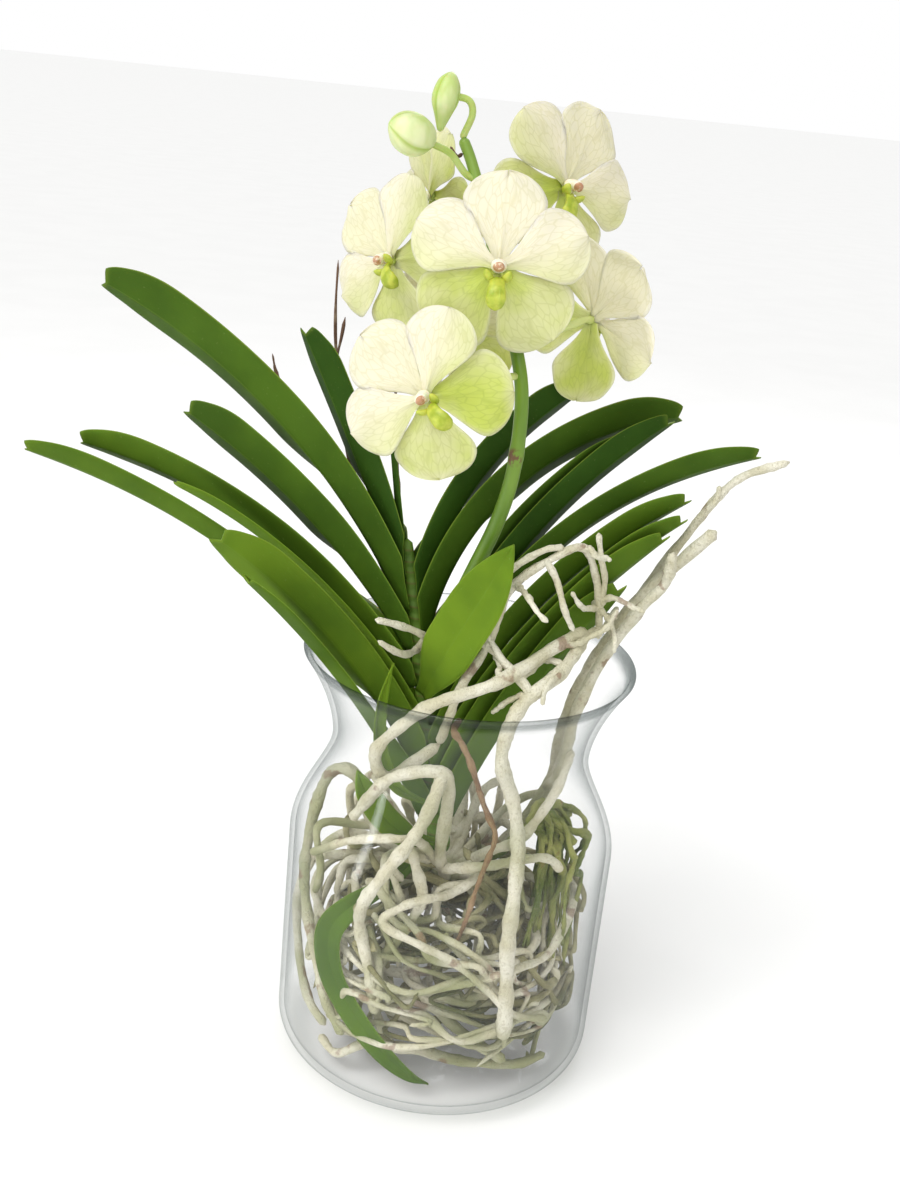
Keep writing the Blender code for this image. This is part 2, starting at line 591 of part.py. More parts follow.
def off_spike(height, direction):
    """First two points of a stalk that leaves the spike squarely, just clear of its skin."""
    line = (spike_at(height + 0.004) - spike_at(height - 0.004)).normalized()
    out = (direction - line * direction.dot(line)).normalized()
    foot = spike_at(height) + out * (spike_radius(height) + GAP)
    return [foot, foot + out * STALK_START]


def make_spike(material):
    """Flower spike that tapers from the stem to its tip."""
    route = smooth_route(SPIKE_ROUTE, 2)
    radii = [spike_radius(point.z) for point in route]
    return make_object("flower_spike", tube(route, radii, SPIKE_SIDES), material)


def bloom_axes(bloom):
    """Right, up and forward directions of a bloom's face."""
    yaw, pitch, roll = (math.radians(a) for a in (bloom.yaw, bloom.pitch, bloom.roll))
    forward = np.array([math.sin(yaw) * math.cos(pitch), -math.cos(yaw) * math.cos(pitch),
                        math.sin(pitch)])
    right = np.array([math.cos(yaw), math.sin(yaw), 0])
    up = np.cross(forward, right)
    up = -up if up[2] < 0 else up
    return right * math.cos(roll) - up * math.sin(roll), \
        up * math.cos(roll) + right * math.sin(roll), forward


def tepal_half_width(u, claw):
    """Half width of a tepal along its length, as a share of the widest half."""
    spread = claw + (1 - claw) * smoothstep(u / 0.6)
    past = max(u - 0.55, 0) / 0.47
    return spread * math.sqrt(1 - past ** 2)


def make_tepal(bloom, angle, length, width, claw, set_back):
    """One sepal or petal, curved a little back at its tip and cupped across."""
    right, up, forward = bloom_axes(bloom)
    turn = math.radians(angle)
    outward = up * math.cos(turn) + right * math.sin(turn)
    across = right * math.cos(turn) - up * math.sin(turn)
    rows = []
    for u in TEPAL_STATIONS:
        half = width / 2 * tepal_half_width(u, claw)
        row = []
        for v in TEPAL_COLUMNS:
            depth = -set_back - 0.10 * length * u ** 2 - 0.02 * length * v * v * u
            reach = length * (u - 0.06 * v * v * (u > 0.6))
            row.append(np.array(bloom.centre) + across * half * v + outward * reach
                       + forward * depth)
        rows.append(row)
    return sheet(np.array(rows), TEPAL_THICKNESS)


def make_bloom(bloom, material):
    """Three sepals behind two petals, fused at the column and its long pedicel."""
    right, up, forward = bloom_axes(bloom)
    size = BLOOM_SPAN / 2 * bloom.scale
    centre = Vector(bloom.centre)
    front = Vector(forward)
    start = spike_at(bloom.joint)
    route = [*off_spike(bloom.joint, centre - start), (start + centre) / 2 - front * 0.004,
             centre - front * 0.008, centre - front * 0.003, centre,
             centre + front * 0.004, centre + front * 0.009]
    radii = [PEDICEL_RADIUS, PEDICEL_RADIUS, PEDICEL_RADIUS, PEDICEL_RADIUS * 1.3, HUB_RADIUS, HUB_RADIUS,
             COLUMN_RADIUS, COLUMN_RADIUS * 0.8]
    solids = [tube(route, radii, 6)]
    solids.append(make_tepal(bloom, 0, size, size * 0.86, 0.3, SEPAL_SET_BACK))
    for side in (-1, 1):
        solids.append(make_tepal(bloom, 66 * side, size, size * 0.76, 0.24, 0))
        solids.append(make_tepal(bloom, 137 * side, size * 0.96, size * 0.9, 0.3,
                                 SEPAL_SET_BACK))
    return fuse(bloom.name, solids, material)


def make_lip(bloom, material):
    """Tongue below the column with a small lobe at each side of its base."""
    axes = [Vector(axis) for axis in bloom_axes(bloom)]
    size = bloom.scale / 1000

    def placed(points):
        return [Vector(bloom.centre) + sum((a * c * size for a, c in zip(axes, p)), Vector())
                for p in points]

    tongue = placed(((0, -3.95, 3.6), (0, -5.4, 7), (0, -8.4, 9.6), (0, -12.2, 10.2),
                     (0, -15, 8.6)))
    widths = [w * size for w in (1.5, 2.4, 3.3, 3.0, 1.4)]
    solids = [tube(tongue, widths, 6, 0.5, axes[0])]
    for side in (-1, 1):
        lobe = placed(((side * 1.2, -4.6, 5), (side * 3.4, -3.6, 6.6), (side * 4.8, -1, 8)))
        solids.append(tube(lobe, [w * size for w in (0.9, 1.5, 0.7)], 5))
    return fuse(bloom.name.replace("bloom", "lip"), solids, material)


def make_bud(name, stalk, body, radii, material):
    """Closed bud on its stalk."""
    stalk_tube = tube([Vector(p) for p in stalk], [PEDICEL_RADIUS] * len(stalk), 6)
    body_tube = tube([Vector(p) for p in body], radii, BUD_SIDES)
    return fuse(name, [body_tube, stalk_tube], material)


def tapered(start_radius, tip_radius, points, sides, steps=1):
    """Tube through points that tapers evenly to a blunt tip."""
    route = smooth_route(points, steps)
    last = len(route) - 1
    radii = [start_radius + (tip_radius - start_radius) * i / last for i in range(last + 1)]
    return tube(route, radii, sides)


def ring_point(turn, reach, height):
    """Point at an angle round the vase's axis, a distance from it and a height."""
    return (reach * math.cos(turn), reach * math.sin(turn), height)


def wandering_root(rng, start, turn, drift, reach, lift, foot):
    """Root that leaves the stem's foot, rises a little and comes down near the wall."""
    points = [tuple(value + rng.uniform(-0.001, 0.001) for value in start)]
    for step in range(1, WANDER_STEPS + 1):
        t = step / WANDER_STEPS
        out = reach * smoothstep(t / 0.4) * rng.uniform(0.93, 1.0)
        rise = math.sin(math.pi * min(max(t - 0.1, 0) / 0.5, 1))
        height = start[2] + lift * rise - (start[2] - foot) * smoothstep((t - 0.25) / 0.75)
        points.append(ring_point(turn + drift * t + rng.uniform(-0.08, 0.08), out,
                                 height + rng.uniform(-0.003, 0.003)))
    return points


def make_pale_roots(material):
    """Every pale root in one body: those that show one by one, and the mass behind."""
    rng = random.Random(ROOT_SEED)
    down = (STEM_FOOT - STEM_TOP).normalized()
    knob = [STEM_FOOT + down * depth for depth in (GAP, 0.008, 0.020)]
    solids = [tube(knob, [KNOB_RADIUS, KNOB_RADIUS * 1.2, KNOB_RADIUS * 0.6], 7)]
    for start_radius, tip_radius, points in PALE_ROOTS:
        first = tuple(value + rng.uniform(-0.0004, 0.0004) for value in points[0])
        solids.append(tapered(start_radius, tip_radius, (first, *points[1:]), ROOT_SIDES))
    start = tuple(STEM_FOOT + Vector((0.002, 0, -0.009)))
    for index in range(WALL_ROOTS):
        turn = math.radians(48 + 132 * index / (WALL_ROOTS - 1))
        points = wandering_root(rng, start, turn, rng.uniform(-0.25, 0.25),
                                rng.uniform(0.050, 0.066), rng.uniform(0, 0.034),
                                rng.uniform(0.010, 0.040))
        solids.append(tapered(rng.uniform(0.0018, 0.0028), 0.0014, points, ROOT_SIDES))
    for index in range(CORE_ROOTS):
        turn = math.radians(50 + 260 * index / (CORE_ROOTS - 1))
        points = wandering_root(rng, start, turn, rng.uniform(-0.6, 0.6),
                                rng.uniform(0.018, 0.030), 0, rng.uniform(0.009, 0.030))
        solids.append(tapered(rng.uniform(0.0018, 0.0026), 0.0013, points, ROOT_SIDES))
    return fuse("roots_pale", solids, material)


def make_mossy_roots(material):
    """Thin mossy roots at the right that fan out downwards from one knot."""
    rng = random.Random(MOSS_SEED)
    knot = (0.036, -0.006, 0.119)
    solids = [tapered(0.0022, 0.0026, ((0.0072, -0.0026, 0.0902), (0.024, -0.005, 0.103), knot),
                      ROOT_SIDES)]
    for index in range(MOSSY_ROOTS):
        share = index / (MOSSY_ROOTS - 1)
        turn = math.radians(-24 + 40 * share)
        reach = rng.uniform(0.050, 0.067)
        foot = 0.020 + 0.05 * rng.random()
        points = [tuple(value + rng.uniform(-0.0006, 0.0006) for value in knot)]
        for step in range(1, 7):
            t = step / 6
            out = 0.038 + (reach - 0.038) * smoothstep(t / 0.3)
            points.append(ring_point(turn * smoothstep(t / 0.4) + rng.uniform(-0.03, 0.03), out,
                                     knot[2] + 0.008 * math.sin(3 * t)
                                     - (knot[2] - foot) * t * t))
        solids.append(tapered(rng.uniform(0.0015, 0.0024), 0.0010, points, ROOT_SIDES))
    return fuse("roots_mossy", solids, material)


def main():
    clear_scene()
    glass = make_material("vase_glass", "E8EEEC", 0.02, 1.0)
    green = make_material("leaf_green", "3D6A16", 0.35)
    stem_green = make_material("stem_green", "6C8A3A", 0.5)
    petal = make_material("petal_cream", "EEEFC8", 0.5)
    lip_green = make_material("lip_green", "C3CB3C", 0.45)
    bud_green = make_material("bud_green", "C4D480", 0.45)
    root_pale = make_material("root_pale", "DAD5BA", 0.75)
    root_mossy = make_material("root_mossy", "7C8438", 0.8)
    root_brown = make_material("root_brown", "8A6A48", 0.8)
    dry_brown = make_material("dry_brown", "6B4A33", 0.85)
    make_vase(glass)
    make_stem(stem_green)
    for leaf in LEAVES:
        make_leaf(leaf, green)
    for leaf in FREE_LEAVES:
        make_free_leaf(leaf, green)
    make_spike(stem_green)
    for bloom in BLOOMS:
        make_bloom(bloom, petal)
        make_lip(bloom, lip_green)
    for name, (stalk, body, radii) in BUDS.items():
        make_bud(name, stalk, body, radii, bud_green)
    for name, (height, direction) in BRACTS.items():
        foot, above = off_spike(height, direction)
        points = (foot, above, above + (direction + Vector((0, 0, 1))) * BRACT_LENGTH / 2)
        make_object(name, tapered(BRACT_RADIUS, BRACT_RADIUS / 2, points, 5), dry_brown)
    make_pale_roots(root_pale)
    make_mossy_roots(root_mossy)
    make_object("root_brown", tapered(0.0016, 0.0010, BROWN_ROOT, ROOT_SIDES), root_brown)
    fuse("roots_small", [tapered(*root, ROOT_SIDES) for root in SMALL_ROOTS], root_pale)
    for name, routes in TWIG_ROUTES.items():
        fuse(name, [tapered(TWIG_RADIUS, TWIG_RADIUS / 2, points, TWIG_SIDES)
                    for points in routes], dry_brown)


main()
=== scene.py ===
# A vanda orchid that lives with bare roots in a clear vase: blown glass with a drawn-in
# neck, a flattened stem with two ranks of folded strap leaves, one spike with seven blooms
# and two buds, and a mass of corky roots. The plant only rests in the vase.
import math
import random
from collections import namedtuple

import bpy
import numpy as np
from mathutils import Matrix


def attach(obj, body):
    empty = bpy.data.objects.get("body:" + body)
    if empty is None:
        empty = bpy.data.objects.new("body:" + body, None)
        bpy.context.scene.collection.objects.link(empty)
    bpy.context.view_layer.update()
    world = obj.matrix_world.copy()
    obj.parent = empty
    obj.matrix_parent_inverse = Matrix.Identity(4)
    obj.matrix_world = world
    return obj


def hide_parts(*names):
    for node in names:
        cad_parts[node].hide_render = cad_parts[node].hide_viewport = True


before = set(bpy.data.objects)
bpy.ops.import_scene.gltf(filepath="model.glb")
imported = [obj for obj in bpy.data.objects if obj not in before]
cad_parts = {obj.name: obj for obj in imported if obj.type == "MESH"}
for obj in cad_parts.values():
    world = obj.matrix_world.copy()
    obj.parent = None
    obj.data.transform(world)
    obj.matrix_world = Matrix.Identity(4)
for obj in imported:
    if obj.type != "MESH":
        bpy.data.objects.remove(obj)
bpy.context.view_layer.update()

# Vase. Clear blown glass in one piece: a thick flat foot, straight walls, a shoulder drawn
# in to a neck, and a flared rim with a rounded edge. It stands on its foot by its weight.

VASE_HEIGHT = 0.200
VASE_FOOT = 0.062
VASE_BODY = 0.0755
VASE_NECK = 0.0588
VASE_RIM = 0.0745
SHOULDER_HEIGHT = 0.108
NECK_HEIGHT = 0.156
GLASS_WALL = 0.0024
GLASS_FLOOR = 0.005
BOWL_RADIUS = 0.009
FOOT_RING = 0.003
FOOT_HOLLOW = 0.0009
RIM_BAND = 0.0065
AXIS_GAP = 0.0002
VASE_SIDES = 128


def soft(value):
    """0 below 0, 1 above 1, and 3x^2 - 2x^3 between."""
    value = np.clip(value, 0, 1)
    return value * value * (3 - 2 * value)


def metres(values):
    """Points or sizes in metres, from a table in millimetres."""
    return np.array(values, dtype=float) / 1000


def strip_faces(rows, columns, start=0, closed=False):
    """Quads of a grid of rows and columns; a closed grid joins its last column to its first."""
    last = columns if closed else columns - 1
    row, column = np.meshgrid(np.arange(rows - 1), np.arange(last), indexing="ij")
    after = (column + 1) % columns
    corners = [row * columns + column, row * columns + after,
               (row + 1) * columns + after, (row + 1) * columns + column]
    return start + np.stack(corners, -1).reshape(-1, 4)


def build(name, points, faces, material, coords=None, tone=None):
    """Smooth mesh from points and faces, with a UV map and a number for each point."""
    mesh = bpy.data.meshes.new(name)
    mesh.from_pydata(np.asarray(points).reshape(-1, 3).tolist(), [], [list(f) for f in faces])
    corners = np.empty(len(mesh.loops), dtype=np.int32)
    mesh.loops.foreach_get("vertex_index", corners)
    if coords is not None:
        layer = mesh.uv_layers.new(name="uv")
        layer.data.foreach_set("uv", np.asarray(coords, dtype=np.float32)[corners].ravel())
    if tone is not None:
        data = mesh.attributes.new("tone", "FLOAT", "POINT")
        data.data.foreach_set("value", np.asarray(tone, dtype=np.float32).ravel())
    mesh.materials.append(material)
    mesh.shade_smooth()
    obj = bpy.data.objects.new(name, mesh)
    bpy.context.scene.collection.objects.link(obj)
    return obj


def merge(solids):
    """One list of points and faces from several."""
    points, faces, count = [], [], 0
    for some_points, some_faces in solids:
        points.append(some_points)
        faces += [[corner + count for corner in face] for face in some_faces]
        count += len(some_points)
    return np.concatenate(points), faces


def add(name, solid, material, slot, *nodes, coords=None, tone=None):
    """Build a piece from one solid or a list of them, give it its body and hide the CAD
    nodes that it replaces. The slot is not used."""
    points, faces = merge(solid) if isinstance(solid, list) else solid
    obj = build(name, points, faces, material, coords, tone)
    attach(obj, "root")
    if nodes:
        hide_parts(*nodes)


class Look:
    """One Principled material with short calls for the nodes that colour it."""

    def __init__(self, name, roughness):
        self.material = bpy.data.materials.new(name)
        self.material.use_nodes = True
        self.tree = self.material.node_tree
        self.shader = self.tree.nodes["Principled BSDF"]
        self.output = self.tree.nodes["Material Output"]
        self.shader.inputs["Roughness"].default_value = roughness

    def node(self, kind, output, **inputs):
        """Add a node and give back one of its outputs. A key set_x sets the property x, i0
        is the input of that number, and any other key is an input's name; a value may be
        another node's output."""
        node = self.tree.nodes.new("ShaderNode" + kind)
        for key, value in inputs.items():
            if key.startswith("set_"):
                setattr(node, key[4:], value)
        for key, value in inputs.items():
            if key.startswith("set_"):
                continue
            socket = node.inputs[int(key[1:])] if key[0] == "i" and key[1:].isdigit() \
                else node.inputs[key.replace("_", " ")]
            if isinstance(value, bpy.types.NodeSocket):
                self.tree.links.new(value, socket)
            else:
                socket.default_value = value
        return node.outputs[output]

    def math(self, operation, a, b=0.0, c=0.0, clamp=False):
        return self.node("Math", 0, set_operation=operation, set_use_clamp=clamp,
                         i0=a, i1=b, i2=c)

    def mix(self, share, first, second):
        """Colour between two, as sRGB hex or sockets."""
        pair = [linear(c) if isinstance(c, str) else c for c in (first, second)]
        return self.node("Mix", 2, set_data_type="RGBA", i0=share, i6=pair[0], i7=pair[1])

    def noise(self, scale, detail=3.0, stretch=None):
        """Soft noise in object space, or stretched along given scales."""
        place = self.node("TexCoord", "Object")
        if stretch is not None:
            place = self.node("VectorMath", 0, set_operation="MULTIPLY", i0=place, i1=stretch)
        return self.node("TexNoise", 0, Vector=place, Scale=scale, Detail=detail)

    def step(self, value, low, high):
        """0 below low, 1 above high, smooth between."""
        return self.node("MapRange", 0, set_interpolation_type="SMOOTHSTEP", i0=value, i1=low,
                         i2=high)

    def fade(self, value, low, high):
        """1 below low, 0 above high, smooth between."""
        return self.math("SUBTRACT", 1.0, self.step(value, low, high))

    def mask(self, scale, low, high, detail=3.0, stretch=(1.0, 1.0, 1.0)):
        """Soft patches of noise in object space, from the shared node group."""
        group = self.tree.nodes.new("ShaderNodeGroup")
        group.node_tree = PATCHES
        for name, value in zip(("Scale", "Low", "High", "Detail", "Stretch"),
                               (scale, low, high, detail, stretch)):
            group.inputs[name].default_value = value
        return group.outputs["Mask"]

    def over(self, body, mask, amount, colour):
        """Lay a colour over another where a mask is 1, by an amount."""
        return self.mix(self.math("MULTIPLY", mask, amount), body, colour)

    def tone(self):
        """The number kept with each point of the mesh."""
        return self.node("Attribute", "Fac", set_attribute_name="tone")

    def split(self, place):
        """The single coordinates of a point."""
        parts = self.tree.nodes.new("ShaderNodeSeparateXYZ")
        self.tree.links.new(place, parts.inputs[0])
        return parts.outputs

    def uv(self):
        """The two coordinates of the UV map."""
        parts = self.split(self.node("UVMap", 0, set_uv_map="uv"))
        return parts[0], parts[1]

    def glow(self, weight, scale):
        """Light that goes a little way into the surface."""
        self.shader.inputs["Subsurface Weight"].default_value = weight
        self.shader.inputs["Subsurface Scale"].default_value = scale

    def bump(self, height, strength, distance):
        normal = self.node("Bump", 0, Height=height, Strength=strength, Distance=distance)
        self.tree.links.new(normal, self.shader.inputs["Normal"])

    def colour(self, value):
        if isinstance(value, str):
            self.shader.inputs["Base Color"].default_value = linear(value)
        else:
            self.tree.links.new(value, self.shader.inputs["Base Color"])


def linear(text):
    """Linear colour of an sRGB hex value."""
    channels = [int(text[i:i + 2], 16) / 255 for i in (0, 2, 4)]
    return [c / 12.92 if c <= 0.04045 else ((c + 0.055) / 1.055) ** 2.4 for c in channels] + [1]


def patches_group():
    """Node group: noise in object space, stretched, and cut to 0 below Low and 1 above High."""
    group = bpy.data.node_groups.new("soft_patches", "ShaderNodeTree")
    for name, kind in (("Scale", "Float"), ("Low", "Float"), ("High", "Float"),
                       ("Detail", "Float"), ("Stretch", "Vector")):
        group.interface.new_socket(name, in_out="INPUT", socket_type="NodeSocket" + kind)
    group.interface.new_socket("Mask", in_out="OUTPUT", socket_type="NodeSocketFloat")
    given, place, stretch, noise, cut, result = (group.nodes.new(kind) for kind in (
        "NodeGroupInput", "ShaderNodeTexCoord", "ShaderNodeVectorMath", "ShaderNodeTexNoise",
        "ShaderNodeMapRange", "NodeGroupOutput"))
    stretch.operation = "MULTIPLY"
    cut.interpolation_type = "SMOOTHSTEP"
    for start, end in ((place.outputs["Object"], stretch.inputs[0]),
                       (given.outputs["Stretch"], stretch.inputs[1]),
                       (stretch.outputs[0], noise.inputs["Vector"]),
                       (given.outputs["Scale"], noise.inputs["Scale"]),
                       (given.outputs["Detail"], noise.inputs["Detail"]),
                       (noise.outputs[0], cut.inputs[0]), (given.outputs["Low"], cut.inputs[1]),
                       (given.outputs["High"], cut.inputs[2]),
                       (cut.outputs[0], result.inputs["Mask"])):
        group.links.new(start, end)
    return group


PATCHES = patches_group()


def glass_look():
    """Thin clear glass: see-through, with a painted grey shade where it is seen along the
    wall, which stands in for the darker surroundings that real glass shows there, and with
    sharp reflections that grow towards the edges. Tone 1 is the thick rim and foot, where
    the painted grey shade is stronger at an angle."""
    look = Look("clear_glass", 0.03)
    look.colour("F6F9F9")
    look.shader.inputs["Metallic"].default_value = 1.0
    facing = look.node("LayerWeight", "Facing", Blend=0.5)
    tone = look.tone()
    # Painted shade: a grey tint on the see-through part, strongest along the wall and on the thick
    # rim and foot, stands in for the darker surroundings seen in real glass
    thick = look.math("MULTIPLY", tone, look.math("POWER", facing, 0.8))
    edge = look.math("MAXIMUM", look.math("POWER", facing, 6.0), thick)
    painted_shade_tint = look.mix(edge, "FFFFFF", "848D8B")
    clear = look.node("BsdfTransparent", 0, Color=painted_shade_tint)
    look.bump(look.noise(60.0, 1.0, (0.3, 0.3, 1.0)), 0.12, 0.001)
    mirror = look.math("MULTIPLY_ADD", look.math("POWER", facing, 6.0), 0.5, 0.025)
    shadow = look.node("LightPath", "Is Shadow Ray")
    amount = look.math("MULTIPLY", mirror, look.math("SUBTRACT", 1.0, shadow))
    joined = look.node("MixShader", 0, i0=amount, i1=clear, i2=look.shader.outputs[0])
    look.tree.links.new(joined, look.output.inputs["Surface"])
    return look.material


def vase_profile():
    """Radius and height round the glass section: foot, corner, body, shoulder, neck, rim
    and back down the inside.

    shoulder  r = body - (body - neck) soft(t)
    flare     r = neck + (rim - neck) t^1.8
    """
    corner = VASE_BODY - VASE_FOOT
    turn = np.linspace(0, math.pi / 2, 16)
    foot = np.stack([VASE_FOOT + corner * np.sin(turn), corner * (1 - np.cos(turn))], 1)
    t = np.linspace(0, 1, 28)[:-1]
    shoulder = np.stack([VASE_BODY - (VASE_BODY - VASE_NECK) * soft(t),
                         SHOULDER_HEIGHT + (NECK_HEIGHT - SHOULDER_HEIGHT) * t], 1)
    t = np.linspace(0, 1, 20)
    flare = np.stack([VASE_NECK + (VASE_RIM - VASE_NECK) * t ** 1.8,
                      NECK_HEIGHT + (VASE_HEIGHT - 0.0013 - NECK_HEIGHT) * t], 1)
    wall = np.concatenate([foot, shoulder, flare])
    turn = np.linspace(0, math.pi, 9)[1:-1]
    half = GLASS_WALL / 2
    rim = np.array((VASE_RIM - half, VASE_HEIGHT - half)) \
        + half * np.stack([np.cos(turn), np.sin(turn)], 1)
    inner = wall[16:][::-1] - (GLASS_WALL, 0)
    turn = np.linspace(0, math.pi / 2, 10)
    bowl = np.stack([VASE_BODY - GLASS_WALL - BOWL_RADIUS * (1 - np.cos(turn)),
                     GLASS_FLOOR + BOWL_RADIUS * (1 - np.sin(turn))], 1)
    under = [(AXIS_GAP, FOOT_HOLLOW), (VASE_FOOT - 2 * FOOT_RING, FOOT_HOLLOW),
             (VASE_FOOT - FOOT_RING, 0)]
    return np.concatenate([under, wall, rim, inner, bowl, [(AXIS_GAP, GLASS_FLOOR)]])


def make_vase():
    profile = vase_profile()
    turn = np.linspace(0, math.tau, VASE_SIDES, endpoint=False)
    radius, height = profile[:, :1], profile[:, 1:]
    points = np.stack([radius * np.cos(turn), radius * np.sin(turn),
                       np.repeat(height, VASE_SIDES, 1)], -1)
    faces = strip_faces(len(profile), VASE_SIDES, closed=True).tolist()
    faces.append(list(range(VASE_SIDES))[::-1])
    last = (len(profile) - 1) * VASE_SIDES
    faces.append(list(range(last, last + VASE_SIDES)))
    faces = [face[::-1] for face in faces]
    # Tone for the painted grey shade of the glass: 1 on the thick rim band, 0.35 on the outer foot
    # ring
    rim = soft((height - VASE_HEIGHT + RIM_BAND) / 0.002)
    foot = 0.35 * soft((FOOT_RING - height) / FOOT_RING) * soft((radius - 0.055) / 0.008)
    tone = np.repeat(np.maximum(rim, foot), VASE_SIDES, 1)
    add("clear_vase", (points, faces), glass_look(), "vase_glass", "vase", tone=tone)


make_vase()

# Stem. A short green cane, flattened between the two ranks of leaves, with faint rings
# where old sheaths came off. It stands in the middle of the vase, held up by the roots.

STEM_FOOT = np.array((-0.004, -0.002, 0.096))
STEM_TOP = np.array((-0.033, 0.004, 0.248))
STEM_FOOT_HALF_WIDTH = 0.0055
STEM_TOP_HALF_WIDTH = 0.0024
STEM_FLATNESS = 0.55


def curve(points, steps):
    """Catmull-Rom curve through points, with a number of steps in each span."""
    p = np.asarray(points, dtype=float)
    p = np.concatenate([[2 * p[0] - p[1]], p, [2 * p[-1] - p[-2]]])
    t = np.linspace(0, 1, steps, endpoint=False)[None, :, None]
    a, b, c, d = p[:-3, None], p[1:-2, None], p[2:-1, None], p[3:, None]
    inner = 0.5 * (2 * b + (c - a) * t + (2 * a - 5 * b + 4 * c - d) * t ** 2
                   + (3 * b - a - 3 * c + d) * t ** 3)
    return np.concatenate([inner.reshape(-1, 3), p[-2:-1]])


def unit(vectors):
    return vectors / np.linalg.norm(vectors, axis=-1, keepdims=True)


def tube(route, radii, sides, flat=1.0, wide=None):
    """Points, quads and end caps of a tube with round ends.

    point = centre + r(s) (across cos a + other flat sin a)
    """
    tangents = unit(np.gradient(route, axis=0))
    across = np.array(wide if wide is not None else np.cross(tangents[0], (0.31, 0.52, 0.8)))
    frames = []
    for tangent in tangents:
        across = unit(across - tangent * across.dot(tangent))
        frames.append(across)
    across = np.array(frames)[:, None]
    other = np.cross(tangents[:, None], across)
    step = np.linalg.norm(np.diff(route, axis=0), axis=1)
    from_start = np.concatenate([[0], np.cumsum(step)])
    near_end = np.minimum(from_start, from_start[-1] - from_start) / np.maximum(radii, 1e-5)
    shrink = np.sqrt(np.clip(1 - (1 - np.clip(near_end, 0.02, 1)) ** 2, 0, 1))
    turn = np.linspace(0, math.tau, sides, endpoint=False)[None, :, None]
    reach = (radii * shrink)[:, None, None]
    points = route[:, None] + reach * (across * np.cos(turn) + other * flat * np.sin(turn))
    faces = strip_faces(len(route), sides, closed=True).tolist()
    last = (len(route) - 1) * sides
    faces += [list(range(sides))[::-1], list(range(last, last + sides))]
    return points.reshape(-1, 3), faces


def stem_look():
    """Pale green cane, browner in rings where old sheaths came off."""
    look = Look("stem_skin", 0.6)
    place = look.node("TexCoord", "Object")
    rings = look.node("TexWave", 1, set_bands_direction="Z", Vector=place, Scale=60.0,
                      Distortion=1.5)
    patches = look.mask(90, 0.45, 0.7)
    green = look.mix(patches, "5E8020", "45681A")
    look.colour(look.over(green, look.step(rings, 0.85, 1.0), 0.5, "6E5A2C"))
    look.bump(rings, 0.4, 0.001)
    return look.material


def make_stem():
    share = np.linspace(0, 1, 80)[:, None]
    route = STEM_FOOT + (STEM_TOP - STEM_FOOT) * share
    half = STEM_FOOT_HALF_WIDTH + (STEM_TOP_HALF_WIDTH - STEM_FOOT_HALF_WIDTH) * share[:, 0]
    half = half * (0.96 - 0.05 * np.cos(math.tau * 9 * share[:, 0]))
    add("cane", tube(route, half, 20, STEM_FLATNESS, (1.0, 0, 0)), stem_look(),
        "stem_green", "stem")


make_stem()

# Leaves. Eighteen leathery straps in two ranks. Each is folded tightly round the stem at
# its base and opens to a shallow valley with a sunk midrib and a notched tip.

GAP = 0.0003
LEAF_THICKNESS = 0.0009
BASE_FOLD = 56
BLADE_FOLD = 18
OPENING = 0.5
TIP_START = 0.84
TIP_REACH = 0.172
TIP_NOTCH = 0.0035
LEAF_MARGIN = 0.0004
LEAF_ROWS = 72
BACK_SHIFT = 1.01
PLEAT_DEPTH = 0.00006
VALLEY = 0.004
LEAF_COLUMNS = 17

Leaf = namedtuple("Leaf", "name side height length width swing rise droop roll shade")

# From the top leaf down: height of the joint, length and width; degrees of swing back, lean
# at the joint and at the tip, and roll; last, how light the green is
LEFT_LEAVES = (
    (0.238, 0.054, 0.014, 12, 8, 10, -30, 0.1),
    (0.229, 0.114, 0.025, 14, 25, 29, -55, 0.1),
    (0.214, 0.198, 0.032, 12, 29, 69, -58, 0.25),
    (0.196, 0.144, 0.028, 10, 35, 62, -58, 0.15),
    (0.178, 0.190, 0.026, 11, 38, 83, -50, 0.35),
    (0.1645, 0.150, 0.015, 2.4, 30, 68, -30, 0.75),
    (0.137, 0.149, 0.025, -18, 25, 54, -62, 0.6),
    (0.157, 0.221, 0.023, 9, 41, 80, -45, 0.45),
    (0.118, 0.147, 0.020, -24, 26, 46, -10, 0.35),
)
RIGHT_LEAVES = (
    (0.222, 0.116, 0.025, 14, 8, 55, -52, 0.1),
    (0.205, 0.157, 0.027, 12, 6, 82, -55, 0.25),
    (0.187, 0.138, 0.024, 9, 13, 54, -35, 0.15),
    (0.174, 0.164, 0.022, 5, 13, 52, -50, 0.0),
    (0.162, 0.195, 0.022, 4, 9, 75, -45, 0.2),
    (0.150, 0.161, 0.024, 2, 15, 57, -45, 0.3),
    (0.139, 0.160, 0.024, 0, 18, 51, -40, 0.3),
    (0.128, 0.158, 0.024, -4, 15, 46, -40, 0.4),
    (0.117, 0.137, 0.024, -8, 18, 35, -45, 0.4),
)
LEAVES = [Leaf("leaf_%s_%02d" % (rank, index + 1), side, *row)
          for rank, side, rows in (("left", -1, LEFT_LEAVES), ("right", 1, RIGHT_LEAVES))
          for index, row in enumerate(rows)]


def turned(first, second, degrees):
    """Direction the given angles from the first towards the second."""
    angle = np.radians(np.asarray(degrees, dtype=float))[..., None]
    return first * np.cos(angle) + second * np.sin(angle)


def sheet(front, back):
    """Closed solid between two grids of points: both faces and the strip round their edge."""
    rows, columns = front.shape[:2]
    count = rows * columns
    faces = strip_faces(rows, columns).tolist()
    faces += strip_faces(rows, columns, count)[:, ::-1].tolist()
    rim = [*range(columns), *range(2 * columns - 1, count, columns),
           *range(count - 2, count - columns - 1, -1),
           *range(count - 2 * columns, 0, -columns)]
    faces += [[b, a, a + count, b + count] for a, b in zip(rim, rim[1:] + rim[:1])]
    return np.concatenate([front.reshape(-1, 3), back.reshape(-1, 3)]), faces


